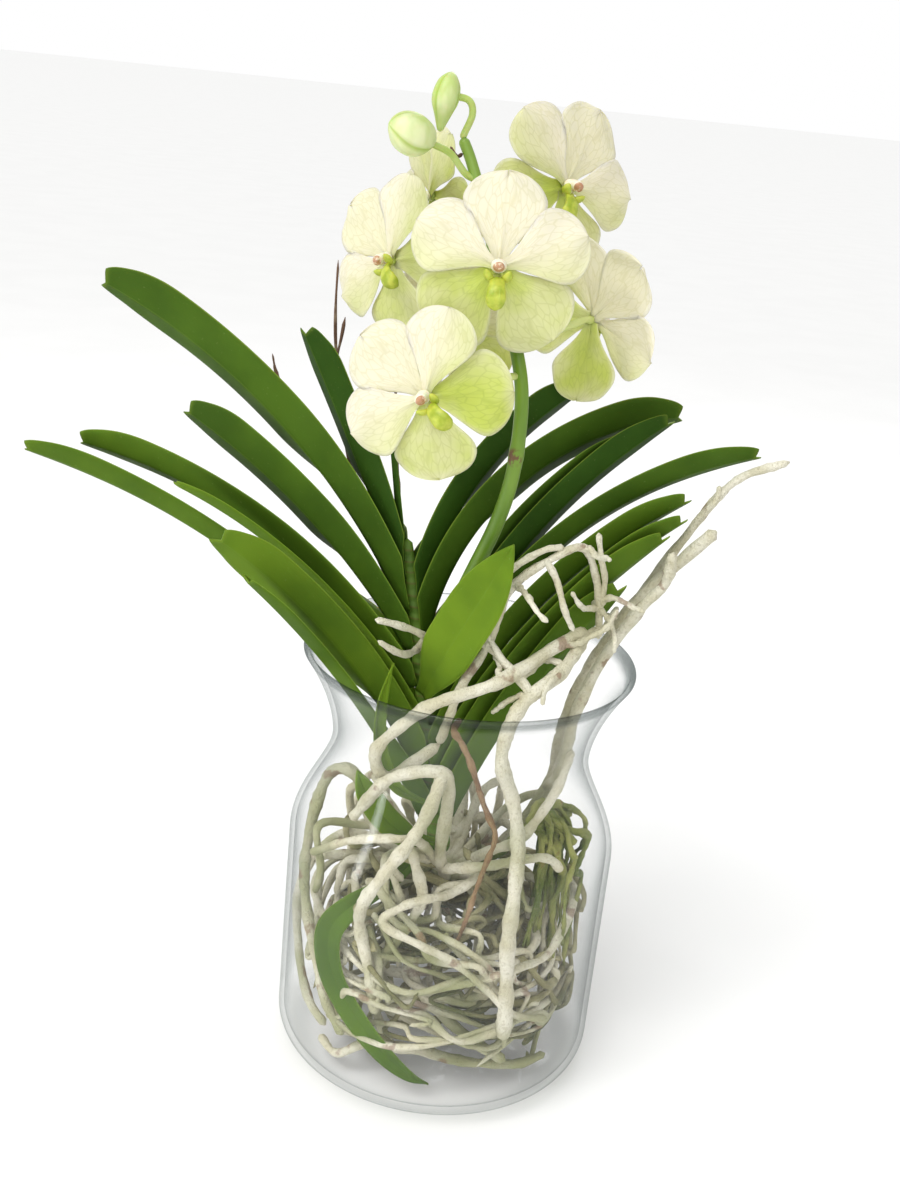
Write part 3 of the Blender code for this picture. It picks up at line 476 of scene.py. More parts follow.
def blade(keel, to_left, to_right, half, pleat):
    """Closed solid of a folded blade: points, faces and UV, the back's UV set aside.

    The inner face is keel + |v| half (edge direction), with a soft valley at the keel
    and shallow pleats; the outer face lies a thickness behind, thinner near the edges.
    """
    v = np.linspace(-1, 1, LEAF_COLUMNS)
    bend = np.sqrt(v * v + VALLEY) - math.sqrt(VALLEY)
    bend = bend / bend[-1]
    middle = (1 - np.abs(v)) ** 3
    left, right = to_left[:, None], to_right[:, None]
    side = np.where(v[None, :, None] < 0, left, right)
    grid = keel[:, None] + side * bend[None, :, None] * half[:, None, None]
    along = unit(np.gradient(grid, axis=0))
    across = np.gradient(grid, axis=1)
    normals = unit(np.cross(across, along))
    normals[-1] = normals[-2]
    pleats = pleat * np.cos(v * 22) * (1 - middle)
    front = grid + normals * pleats[None, :, None]
    depth = LEAF_THICKNESS * np.sqrt(np.clip(1.02 - np.abs(v) ** 5, 0, 1))
    back = grid - normals * depth[None, :, None]
    points, faces = sheet(front, back)
    u = np.linspace(0, 1, len(keel))
    coords = np.stack(np.broadcast_arrays(v[None, :] * 0.5 + 0.5, u[:, None]), -1).reshape(-1, 2)
    return points, faces, np.concatenate([coords, coords + (BACK_SHIFT, 0)])


def leaf_parts(leaf):
    """Keel, edge directions and half widths of a leaf whose keel is an even arc.

    keel(s) = joint + integral of (up cos lean + out sin lean), lean = rise + (droop - rise) s
    """
    up, front = np.array((0.0, 0, 1)), np.array((0.0, -1, 0))
    out = turned(np.array((leaf.side, 0.0, 0)), -front, leaf.swing)
    behind = turned(-front, np.array((-leaf.side, 0.0, 0)), leaf.swing)
    fan_side = leaf.side * np.cross(unit(STEM_TOP - STEM_FOOT), front)
    t = (leaf.height - STEM_FOOT[2]) / (STEM_TOP[2] - STEM_FOOT[2])
    half_stem = STEM_FOOT_HALF_WIDTH + (STEM_TOP_HALF_WIDTH - STEM_FOOT_HALF_WIDTH) * t
    fold = math.radians(BASE_FOLD) - math.radians(abs(leaf.swing))
    spread = math.hypot(half_stem * math.cos(fold), half_stem * STEM_FLATNESS * math.sin(fold))
    joint = STEM_FOOT + (STEM_TOP - STEM_FOOT) * t \
        + out * (spread + GAP) / math.cos(math.radians(BASE_FOLD))
    s = 1 - (1 - np.linspace(0, 1, LEAF_ROWS)) ** 1.25
    middle = (s[1:] + s[:-1]) / 2
    steps = turned(up, out, leaf.rise + (leaf.droop - leaf.rise) * middle)
    steps = steps * (leaf.length * np.diff(s))[:, None]
    keel = joint + np.concatenate([[(0, 0, 0)], np.cumsum(steps, 0)])
    lean = leaf.rise + (leaf.droop - leaf.rise) * s
    along, inward = turned(up, out, lean), turned(-out, up, lean)
    opening = soft(s / OPENING)
    bend = (BASE_FOLD + (BLADE_FOLD - BASE_FOLD) * opening)
    to_back = behind * np.cos(np.radians(bend + leaf.roll * opening))[:, None] \
        + inward * np.sin(np.radians(bend + leaf.roll * opening))[:, None]
    to_front = -behind * np.cos(np.radians(bend - leaf.roll * opening))[:, None] \
        + inward * np.sin(np.radians(bend - leaf.roll * opening))[:, None]
    past_tip = np.clip(s - TIP_START, 0, 1) / TIP_REACH
    half = leaf.width / 2 * np.sqrt(1 - past_tip ** 2)
    to_middle = (keel - STEM_FOOT) @ fan_side - LEAF_MARGIN
    for edge in (to_back, to_front):
        slope = -(edge @ fan_side)
        half = np.where(slope > 1e-6, np.minimum(half, to_middle / np.maximum(slope, 1e-6)), half)
    lobe = (TIP_NOTCH * soft((s - 0.95) / 0.05) / np.maximum(half, 1e-4))[:, None]
    to_back = to_back + along * lobe
    to_front = to_front + along * lobe * 0.5
    if leaf.side > 0:
        return keel, to_back, to_front, half
    return keel, to_front, to_back, half


def leaf_look(shade):
    """Leathery green: parallel veins, a pale keel line, lighter margins and tip, a broad
    sheen, and small pale specks."""
    look = Look("leaf_skin_%02d" % round(shade * 100), 0.34)
    across, along = look.uv()
    back = look.math("GREATER_THAN", across, 1.005)
    across = look.math("SUBTRACT", across, look.math("MULTIPLY", back, BACK_SHIFT))
    dark = look.mix(shade, "25450A", "587C10")
    light = look.mix(shade, "40681A", "8DAE20")
    soft_patches = look.mask(22, 0.35, 0.7, 4.0)
    body = look.mix(soft_patches, dark, light)
    from_keel = look.math("ABSOLUTE", look.math("SUBTRACT", across, 0.5))
    veins = look.math("SINE", look.math("MULTIPLY", across, 190.0))
    fine = look.math("MULTIPLY", look.step(veins, 0.2, 1.0), 0.14)
    body = look.mix(fine, body, light)
    keel_line = look.fade(from_keel, 0.004, 0.022)
    body = look.over(body, keel_line, 0.5, "7FA03C")
    edge = look.step(from_keel, 0.478, 0.497)
    body = look.over(body, edge, 0.75, "A9C94A")
    tip = look.step(along, 0.965, 1.0)
    body = look.over(body, tip, 0.55, "8DA83C")
    specks = look.mask(900, 0.72, 0.78, 1.0)
    body = look.over(body, specks, 0.3, "A7B873")
    look.colour(look.over(body, back, 0.6, look.mix(shade, "2C4414", "5E7A24")))
    rough = look.node("MapRange", 0, i0=look.noise(60.0), i1=0.3, i2=0.7, i3=0.28, i4=0.42)
    rough = look.math("ADD", rough, look.math("MULTIPLY", back, 0.3))
    look.tree.links.new(rough, look.shader.inputs["Roughness"])
    shine = look.math("SUBTRACT", 0.3, look.math("MULTIPLY", back, 0.22))
    look.tree.links.new(shine, look.shader.inputs["Specular IOR Level"])
    look.glow(0.06, 0.002)
    relief = look.math("ADD", look.math("MULTIPLY", veins, 0.1), look.noise(140.0))
    look.bump(relief, 0.16, 0.0006)
    return look.material


leaf_looks = {}


def leaf_material(shade):
    """One of six greens, from the darkest leaves to the lightest."""
    level = round(shade * 5) / 5
    if level not in leaf_looks:
        leaf_looks[level] = leaf_look(level)
    return leaf_looks[level]


def add_leaf(leaf, points, faces, coords):
    """Add a blade under a name of its own, in the leaf's green."""
    add(leaf.name.replace("leaf", "strap"), (points, faces), leaf_material(leaf.shade),
        "leaf_green", leaf.name, coords=coords)


for leaf in LEAVES:
    keel, to_left, to_right, half = leaf_parts(leaf)
    add_leaf(leaf, *blade(keel, to_left, to_right, half, PLEAT_DEPTH))

# Four leaves stand out of the fan: a light one in front, a narrow folded one, a short one
# inside the neck and a long one that droops to the floor of the vase.

FreeLeaf = namedtuple("FreeLeaf", "name width fold face shade points")

FREE_LEAVES = (
    FreeLeaf("leaf_front", 25, 14, (-0.3, -0.9, 0.3), 0.8, (
        (-19, -3.4, 178), (-13, -23, 201), (-5, -31, 222), (4, -38, 244), (12, -42, 265))),
    FreeLeaf("leaf_folded", 10, 48, (0.6, -0.8, 0), 1, (
        (-11.8, -8.8, 126), (-28, -23, 141), (-37, -26, 160), (-38, -29, 183), (-33, -32, 204))),
    FreeLeaf("leaf_inner", 13, 20, (0.3, -0.9, 0.3), 0.8, (
        (-7.5, -5, 104), (-20, -16, 112), (-31, -21, 123), (-40, -25, 137), (-45, -27, 149))),
    FreeLeaf("leaf_drooping", 14, 16, (-0.4, -0.9, 0), 0.4, (
        (-10.5, -3.6, 99.2), (-24, -22, 93), (-42, -40, 87), (-50, -42, 74), (-47, -46, 56),
        (-36, -53, 41), (-21, -59, 26), (-8, -60, 15), (1, -57, 9))),
)

for leaf in FREE_LEAVES:
    keel = curve(metres(leaf.points), 12)
    share = np.linspace(0, 1, len(keel))
    along = unit(np.gradient(keel, axis=0))
    side = unit(np.cross(along, unit(np.array(leaf.face))))
    inward = np.cross(side, along)
    half = metres(leaf.width) / 2 * (0.35 + 0.65 * soft(share / 0.4)) \
        * (1 - 0.98 * np.clip((share - 0.58) / 0.42, 0, 1) ** 2.2)
    add_leaf(leaf, *blade(keel, turned(side, inward, leaf.fold),
                          turned(-side, inward, leaf.fold), half, PLEAT_DEPTH * 2 / 3))

# Flower spike. One smooth fleshy stalk from between the leaves, thinner to the top, with
# a brown node half way. It carries the blooms, the buds and the bracts.

SPIKE_ROUTE = (
    (-18, -7, 197), (-4, -16, 240), (5, -20, 268), (9, -24, 292), (9, -24, 320),
    (4.5, -22, 340), (-2, -18, 354), (-11, -12, 384), (-20, -8, 407), (-25, -6, 417))

SPIKE_FOOT_RADIUS = 0.0032
SPIKE_TOP_RADIUS = 0.0019
spike_line = curve(metres(SPIKE_ROUTE), 16)


def spike_at(height):
    """Centre of the spike at a height."""
    return np.array([np.interp(height, spike_line[:, 2], spike_line[:, i]) for i in range(3)])


def spike_radius(height):
    """Even taper from the foot of the spike to its tip."""
    share = (height - spike_line[0, 2]) / (spike_line[-1, 2] - spike_line[0, 2])
    return SPIKE_FOOT_RADIUS + (SPIKE_TOP_RADIUS - SPIKE_FOOT_RADIUS) * share


def stalk_look(name, low, high, spot):
    """Fresh stalk: two greens in soft patches, with brown at a node."""
    look = Look(name, 0.38)
    patches = look.mask(45, 0.35, 0.7, 3.0, (1, 1, 0.35))
    body = look.mix(patches, low, high)
    place = look.node("TexCoord", "Object")
    upper = look.step(look.split(place)[2], 0.33, 0.42)
    body = look.over(body, upper, 0.6, "8CAA4A")
    away = look.node("VectorMath", 1, set_operation="DISTANCE", i0=place, i1=spot)
    brown = look.fade(away, 0.0025, 0.0046)
    brown = look.math("MULTIPLY", brown, look.mask(500, 0.4, 0.55))
    look.colour(look.mix(brown, body, "6B4A2A"))
    look.glow(0.05, 0.002)
    look.bump(look.noise(260.0), 0.15, 0.0004)
    return look.material


radii = 1.15 * spike_radius(spike_line[:, 2]) \
    * (1 + 0.10 * np.exp(-((spike_line[:, 2] - 0.298) / 0.0035) ** 2))
spike_green = stalk_look("spike_skin", "557A1A", "7A9C2E", (0.0085, -0.027, 0.297))
add("spike", tube(spike_line, radii, 20), spike_green, "stem_green", "flower_spike")

# Blooms. Three broad waxy sepals behind two petals, round a short white column with a
# brown cap. A pale stalk leaves the spike squarely and bends round to the back of each.

BLOOM_SPAN = 0.072
TEPAL_THICKNESS = 0.0006
TEPAL_ROWS = 26
TEPAL_COLUMNS = 21
PEDICEL_RADIUS = 0.0014
PEDICEL_SWELL = 0.0011
STALK_START = 0.0025
SEPAL_SET_BACK = 0.0017

Bloom = namedtuple("Bloom", "name centre yaw pitch roll scale joint green")

BLOOMS = (
    Bloom("bloom_1", (-0.006, -0.0385, 0.373), 0, 8, 0, 1.0, 0.352, 0.0),
    Bloom("bloom_2", (-0.029, -0.050, 0.323), -10, 1, -57, 0.97, 0.330, 0.05),
    Bloom("bloom_3", (-0.050, 0.000, 0.367), -38, 0, -58, 0.96, 0.366, 0.15),
    Bloom("bloom_4", (-0.037, 0.016, 0.392), -60, -10, -34, 0.84, 0.384, 0.6),
    Bloom("bloom_5", (0.019, 0.016, 0.4015), 33, 5, 30, 1.0, 0.392, 0.1),
    Bloom("bloom_6", (0.036, 0.003, 0.351), 140, 0, -43, 0.96, 0.340, 0.0),
    Bloom("bloom_7", (-0.024, 0.035, 0.337), 190, 0, 0, 0.95, 0.358, 0.0),
)


# Angle from the upper sepal in degrees, length and width as shares of the bloom's half span,
# how wide the claw is, how far it stands back, twist in degrees, notch and how green it is
Tepal = namedtuple("Tepal", "angle length width claw set_back twist notch green")

TEPALS = (
    Tepal(0, 1.0, 0.94, 0.16, SEPAL_SET_BACK, 0, 0.07, 0.03),
    Tepal(-66, 1.0, 0.86, 0.12, 0, -9, 0.0, 0.16),
    Tepal(-137, 0.97, 1.0, 0.2, SEPAL_SET_BACK, 0, 0.02, 1.0),
    Tepal(66, 1.0, 0.86, 0.12, 0, 9, 0.0, 0.16),
    Tepal(137, 0.97, 1.0, 0.2, SEPAL_SET_BACK, 0, 0.02, 1.0),
)
PETAL_LOWER_WASH = 0.5

# Right, up and forward of the bloom's centre and radius, in mm
COLUMN_LINE = ((0, 0.2, -0.6), (0, 0.3, 1.5), (0, 0.5, 4.0), (0, 0.3, 6.6), (0, -0.2, 8.2),
               (0, -0.9, 9.0))
COLUMN_SHARES = (0, 0.25, 0.55, 0.8, 0.93, 1)
COLUMN_RADII = (3.4, 3.1, 2.5, 2.6, 2.3, 1.4)
CAP_START = 0.72


def bloom_axes(bloom):
    """Right, up and forward directions of a bloom's face."""
    yaw, pitch, roll = (math.radians(a) for a in (bloom.yaw, bloom.pitch, bloom.roll))
    forward = np.array((math.sin(yaw) * math.cos(pitch), -math.cos(yaw) * math.cos(pitch),
                        math.sin(pitch)))
    right = np.array((math.cos(yaw), math.sin(yaw), 0))
    up = np.cross(forward, right)
    up = -up if up[2] < 0 else up
    return (right * math.cos(roll) - up * math.sin(roll),
            up * math.cos(roll) + right * math.sin(roll), forward)


def make_tepal(bloom, part):
    """One sepal or petal as a thin closed sheet: points, faces and UV.

    half(u) = width/2 (claw + (1-claw) soft(u/.72)) sqrt(1 - ((u-.5)/.5)^2.6 past the middle)
    depth   = -set back - .10 length u^2 - .02 length v^2 u + ruffle + ridge
    ruffle  = .034 length u (sin(13 u + angle) v^3 + .5 sin(9 u + 4 v))
    """
    right, up, forward = bloom_axes(bloom)
    length = BLOOM_SPAN / 2 * bloom.scale * part.length
    turn = math.radians(part.angle)
    outward = up * math.cos(turn) + right * math.sin(turn)
    across = right * math.cos(turn) - up * math.sin(turn)
    u = (1 - (1 - np.linspace(0, 1, TEPAL_ROWS)) ** 1.5)[:, None]
    v = np.linspace(-1, 1, TEPAL_COLUMNS)[None, :]
    past = np.clip(u - 0.5, 0, 1) / 0.5
    half = BLOOM_SPAN / 2 * bloom.scale * part.width / 2 \
        * (part.claw + (1 - part.claw) * soft(u / 0.72)) \
        * np.sqrt(np.clip(1 - past ** 2.6, 0.0004, 1))
    ruffle = length * 0.034 * u \
        * (np.sin(13 * u + part.angle) * v ** 3 + 0.5 * np.sin(9 * u + 4 * v))
    ridge = 0.0006 * np.exp(-(v / 0.12) ** 2) * (1 - u)
    depth = -part.set_back - 0.10 * length * u ** 2 - 0.02 * length * v * v * u + ruffle + ridge
    lean = np.radians(part.twist) * soft(u / 0.5) * (1 - 0.5 * u)
    dent = part.notch * np.exp(-(v / 0.16) ** 2) * soft((u - 0.8) / 0.2)
    reach = length * (0.03 + 0.97 * u) - length * dent
    sideways = half * v * np.cos(lean)
    depth = depth + half * v * np.sin(lean)
    grid = np.array(bloom.centre) + across * sideways[..., None] + outward * reach[..., None] \
        + forward * depth[..., None]
    normals = unit(np.cross(np.gradient(grid, axis=1), np.gradient(grid, axis=0)))
    normals = np.where((normals @ forward)[..., None] < 0, -normals, normals)
    thick = TEPAL_THICKNESS * (1.3 - 0.8 * u) * np.sqrt(1.01 - v ** 4)
    back = grid - normals * thick[..., None]
    points, faces = sheet(grid, back)
    coords = np.stack(np.broadcast_arrays(v * 0.5 + 0.5, u), -1).reshape(-1, 2)
    return points, faces, np.concatenate([coords, coords])


def petal_look():
    """Cream petals washed with yellow-green: tone 0 white, 1 green, with net veins, a greener
    heart and pale margins. Light shines softly through them."""
    look = Look("petal_skin", 0.55)
    across, along = look.uv()
    tone = look.tone()
    cloud = look.mask(48, 0.3, 0.75)
    from_middle = look.math("ABSOLUTE", look.math("SUBTRACT", across, 0.5))
    heart = look.fade(along, 0.05, 0.42)
    amount = look.math("MULTIPLY", tone, look.math("MULTIPLY_ADD", cloud, 0.5, 0.5))
    amount = look.math("ADD", amount, look.math("MULTIPLY", heart, 0.07), clamp=True)
    margin = look.step(from_middle, 0.40, 0.5)
    tip = look.step(along, 0.82, 1.0)
    pale = look.math("MAXIMUM", margin, tip)
    kept = look.math("SUBTRACT", 1.0, look.math("MULTIPLY", pale, 0.35))
    amount = look.math("MULTIPLY", amount, kept)
    body = look.mix(amount, "E1DAC3", "B5C252")
    joined = look.node("CombineXYZ", 0, i0=look.math("MULTIPLY", across, 13.0),
                       i1=look.math("MULTIPLY", along, 6.0))
    veins = look.node("TexVoronoi", 0, set_feature="DISTANCE_TO_EDGE", Vector=joined, Scale=1.0)
    lines = look.fade(veins, 0.0, 0.10)
    vein_colour = look.mix(amount, "CFC8A4", "9FAE46")
    body = look.over(body, lines, 0.55, vein_colour)
    middle = look.fade(from_middle, 0.0, 0.03)
    look.colour(look.over(body, middle, 0.3, vein_colour))
    look.glow(0.35, 0.002)
    look.shader.inputs["Subsurface Radius"].default_value = (1.0, 0.9, 0.5)
    look.bump(look.math("ADD", lines, look.noise(300.0)), 0.10, 0.0005)
    return look.material


petal_material = petal_look()


def column_look():
    """White column with a pinkish brown cap and a red-brown throat: tone 1 is the cap."""
    look = Look("column_skin", 0.4)
    tone = look.tone()
    body = look.mix(look.step(tone, 0.3, 0.7), "F3EFD8", "B98A66")
    look.colour(look.mix(look.mask(700, 0.5, 0.7), body, "EAD9BE"))
    look.glow(0.2, 0.001)
    look.bump(look.noise(400.0), 0.1, 0.0003)
    return look.material


column_material = column_look()
pedicel_material = stalk_look("pedicel_skin", "B5C552", "D2DA92", (0, 0, 0))


def stalk_start(height, direction):
    """First two points of a stalk that leaves the spike squarely."""
    line = unit(spike_at(height + 0.004) - spike_at(height - 0.004))
    out = unit(direction - line * direction.dot(line))
    foot = spike_at(height) + out * (spike_radius(height) + GAP)
    return [foot, foot + out * STALK_START]


def make_bloom(bloom):
    """Petals, column and pedicel of one bloom, each with its own look."""
    right, up, forward = bloom_axes(bloom)
    centre = np.array(bloom.centre)
    solids, coords, tones = [], [], []
    for part in TEPALS:
        points, faces, flat = make_tepal(bloom, part)
        solids.append((points, faces))
        coords.append(flat)
        lower = PETAL_LOWER_WASH if part.twist else 0.0
        downward = (flat[:, 0] - 0.5) * 2 * (1 if part.angle > 0 else -1)
        tones.append(np.clip(part.green + lower * downward + bloom.green, 0, 1))
    add(bloom.name.replace("bloom", "petals"), solids, petal_material, "petal_cream", bloom.name,
        coords=np.concatenate(coords), tone=np.concatenate(tones))
    start = spike_at(bloom.joint)
    route = curve([start, *stalk_start(bloom.joint, centre - start),
                   (start + centre) / 2 - forward * 0.004, centre - forward * 0.008,
                   centre - forward * 0.003, centre], 8)
    share = np.linspace(0, 1, len(route))
    radii = PEDICEL_RADIUS * (1 + 0.12 * np.cos(40 * share)) \
        + PEDICEL_SWELL * soft((share - 0.75) / 0.25)
    add(bloom.name.replace("bloom", "pedicel"), tube(route, radii, 12), pedicel_material,
        "petal_cream")
    scale = bloom.scale / 1000
    route = curve(centre + np.array(COLUMN_LINE) @ np.stack([right, up, forward]) * scale, 6)
    share = np.linspace(0, 1, len(route))
    radii = scale * np.interp(share, COLUMN_SHARES, COLUMN_RADII)
    add(bloom.name.replace("bloom", "column"), tube(route, radii, 18, 0.9, right),
        column_material, "petal_cream", tone=np.repeat(soft((share - CAP_START) / 0.1), 18))


for bloom in BLOOMS:
    make_bloom(bloom)

# Lips. A ridged fleshy tongue below each column, with a small lobe at each side of the
# throat. It grows from the foot of the column.

# Right, up and forward of the bloom's centre, in mm; ridges and lobes are mirrored
TONGUE_LINE = ((0, -3.9, 3.4), (0, -5.4, 7), (0, -8.4, 10), (0, -12.4, 10.8), (0, -16.2, 8.8))
TONGUE_SHARES = (0, 0.2, 0.45, 0.7, 0.9, 1)
TONGUE_HALF_WIDTHS = (2.2, 2.8, 3.3, 3.9, 3.2, 1.9)
RIDGE_LINE = ((0.9, -4.2, 4.6), (1.2, -6.6, 9.2), (1.3, -9.6, 11.4), (1.2, -12.6, 11.6),
              (0.7, -15, 9.6))
RIDGE_RADIUS = 0.75
LOBE_LINE = ((1.0, -4.6, 4.6), (3.4, -3.9, 6.4), (4.7, -1.4, 8.2))


def lip_look():
    """Yellow-green in two tones in soft patches, red-brown in the throat: tone 1 is the throat."""
    look = Look("lip_skin", 0.42)
    tone = look.tone()
    patches = look.mask(240, 0.35, 0.65)
    body = look.mix(patches, "98A824", "BFC748")
    look.colour(look.mix(look.step(tone, 0.35, 0.85), body, "7E3F20"))
    look.glow(0.15, 0.001)
    look.bump(look.noise(420.0), 0.2, 0.0004)
    return look.material


lip_material = lip_look()


def make_lip(bloom):
    """Tongue, two ridges along it and two side lobes."""
    axes = np.stack(bloom_axes(bloom))
    scale = bloom.scale / 1000

    def placed(stations, side=1):
        mirrored = np.array(stations, dtype=float) * (side, 1, 1)
        return curve(np.array(bloom.centre) + mirrored @ axes * scale, 7)

    tongue = placed(TONGUE_LINE)
    share = np.linspace(0, 1, len(tongue))
    widths = scale * np.interp(share, TONGUE_SHARES, TONGUE_HALF_WIDTHS)
    solids = [tube(tongue, widths, 16, 0.45, axes[0])]
    tones = [np.repeat(1 - soft(share / 0.3), 16)]
    for side in (-1, 1):
        ridge = placed(RIDGE_LINE, side)
        solids.append(tube(ridge, np.full(len(ridge), RIDGE_RADIUS * scale), 8))
        lobe = placed(LOBE_LINE, side)
        lobe_share = np.linspace(0, 1, len(lobe))
        solids.append(tube(lobe, scale * (0.9 + 1.2 * np.sin(math.pi * lobe_share)), 10, 0.6))
        tones += [np.zeros(len(ridge) * 8), np.repeat(0.7 * (1 - lobe_share), 10)]
    add(bloom.name.replace("bloom", "tongue"), solids, lip_material, "lip_green",
        bloom.name.replace("bloom", "lip"), tone=np.concatenate(tones))


for bloom in BLOOMS:
    make_lip(bloom)

# Buds and bracts. Two closed buds with three seams, on thin stalks at the end of the
# spike, and two small dry scales where stalks leave it.

Bud = namedtuple("Bud", "name stalk body radii")

BUDS = (
    Bud("bud_1",
        ((-24.5, -6, 418.5), (-22, -7, 426), (-24, -8, 431), (-31, -9, 432)),
        ((-31, -9, 440.5), (-32, -9.5, 436), (-33, -10, 430), (-33.5, -10, 424),
         (-34, -10, 418.5)),
        (2.2, 4.8, 5.6, 3, 1)),
    Bud("bud_2",
        ((-22.5, -10, 404), (-29, -12, 411), (-36, -16, 414), (-42, -19, 417)),
        ((-35.5, -16, 414), (-39, -18, 415.5), (-44, -20, 417), (-49, -23, 419),
         (-52.5, -25, 420)),
        (3.4, 7.4, 8.5, 7, 4)),
)


def bud_look():
    """Pale green bud, yellower along its seams: tone 1 is a seam."""
    look = Look("bud_skin", 0.4)
    tone = look.tone()
    patches = look.mask(120, 0.3, 0.7, 3.0, (1, 1, 0.4))
    body = look.mix(patches, "B9CC78", "DDE3B0")
    look.colour(look.over(body, tone, 0.8, "A3BC3C"))
    look.glow(0.2, 0.002)
    look.bump(look.noise(300.0), 0.12, 0.0004)
    return look.material


bud_material = bud_look()
for bud in BUDS:
    body = curve(metres(bud.body), 8)
    share = np.linspace(0, 1, len(body))
    radii = np.interp(share, np.linspace(0, 1, 5), metres(bud.radii))
    radii = np.convolve(np.pad(radii, 3, "edge"), np.ones(7) / 7, "valid")
    points, faces = tube(body, radii, 36)
    seam = np.abs(np.sin(1.5 * np.linspace(0, math.tau, 36, endpoint=False)))
    groove = np.exp(-(seam / 0.22) ** 2)
    centre = np.repeat(body, 36, 0)
    points = centre + (points - centre) * (1 - 0.14 * np.tile(groove, len(body)))[:, None]
    stalk = metres(bud.stalk)
    stalk = curve([spike_at(stalk[0, 2] - 0.002), *stalk], 10)
    solids = [(points, faces), tube(stalk, np.full(len(stalk), PEDICEL_RADIUS), 12)]
    tones = np.concatenate([np.tile(groove, len(body)), np.full(len(stalk) * 12, 0.7)])
    add(bud.name.replace("bud", "closed_bud"), solids, bud_material, "bud_green", bud.name,
        tone=tones)


def dry_look():
    """Dry brown bark with darker streaks along it and paler worn spots."""
    look = Look("dry_skin", 0.85)
    streaks = look.mask(160, 0.35, 0.65, 4.0, (1, 1, 0.25))
    body = look.mix(streaks, "3E2A1E", "6E5240")
    look.colour(look.mix(look.mask(90, 0.58, 0.75), body, "A89880"))
    look.bump(look.noise(500.0), 0.6, 0.0006)
    return look.material


dry_material = dry_look()
BRACT_RADIUS = 0.0012
BRACTS = (("bract_1", 0.4120, (-0.95, -0.1, 0.1)), ("bract_2", 0.3420, (0.9, -0.2, 0.1)))

for name, height, direction in BRACTS:
    direction = np.array(direction)
    foot, above = stalk_start(height, direction)
    scale_line = curve([foot, above, above + (direction + (0, 0, 1)) * 0.003], 8)
    radii = BRACT_RADIUS * (1 - 0.5 * np.linspace(0, 1, len(scale_line)))
    add("dry_" + name, tube(scale_line, radii, 10, 0.6), dry_material, "dry_brown", name)

# Dry twigs. Three thin dead stalks that stand up behind the left leaves, caught between
# their bases, with bark worn pale in places.

TWIG_RADIUS = 0.0011
TWIG_ROUTES = {
    "dry_twig_1": (
        ((-36, 14, 234), (-55, 36, 254), (-67, 42, 280), (-74, 42, 327), (-75, 40, 360)),
        ((-67, 42, 280), (-73, 40, 305), (-70, 38, 336))),
    "dry_twig_2": (
        ((-37, 11, 256), (-43, 30, 283), (-45, 32, 312), (-45, 32, 337)),),
    "dry_twig_3": (
        ((-26, 8.4, 200), (-54, 34, 240), (-82, 36, 280), (-97, 36, 305), (-101, 36, 317)),),
}


LUMP_WAVES = np.array(((1300.0, 500, -700), (-400.0, 1500, 900), (900.0, -1100, 1700)))


def corky(points, start_radius, tip_radius, sides, rng, rough=0.08, steps=9):
    """Root or twig through points: an uneven tube with a slight wander and a round tip."""
    route = curve(points, steps)
    share = np.linspace(0, 1, len(route))
    phase = rng.uniform(0, 6, 6)
    wander = np.stack([np.sin(share * (len(route) / 5) + p) for p in phase[:3]], 1)
    route = route + wander * start_radius * 0.3 * np.sin(math.pi * share)[:, None]
    place = share * len(route)
    knots = np.sin(place / 2.3 + phase[3]) + np.sin(place / 1.1 + phase[4])
    radii = (start_radius + (tip_radius - start_radius) * share) * (1 + rough * knots)
    points, faces = tube(route, radii, sides)
    centre = np.repeat(route, sides, 0)
    lumps = np.sin(points @ LUMP_WAVES[0]) * np.sin(points @ LUMP_WAVES[1]) \
        + 0.6 * np.sin(points @ LUMP_WAVES[2])
    return centre + (points - centre) * (1 + rough * lumps)[:, None], faces


twig_rng = np.random.default_rng(5)
for name, routes in TWIG_ROUTES.items():
    solids = [corky(metres(route), TWIG_RADIUS, TWIG_RADIUS / 2, 8, twig_rng, 0.15)
              for route in routes]
    add(name.replace("twig", "stick"), solids, dry_material, "dry_brown", name)

# Roots. Corky pale tubes, grey-green where damp, with brown scars. They leave a knob at
# the stem's foot, some over the rim and most into the vase. Those that show one by one
# follow their own points, the mass is seeded, and thin rough mossy ones hang at the right.

KNOB_RADIUS = 0.0052
ROOT_SEED = 52
MOSS_SEED = 6
WALL_ROOTS = 13
CORE_ROOTS = 7
MOSSY_ROOTS = 9
WANDER_STEPS = 8
SIDE_ROOTS = 12
SIDE_SEED = 11
TANGLE_SEED = 21
WIDEST_REACH = 0.0655
LOWEST_ROOT = 0.0085

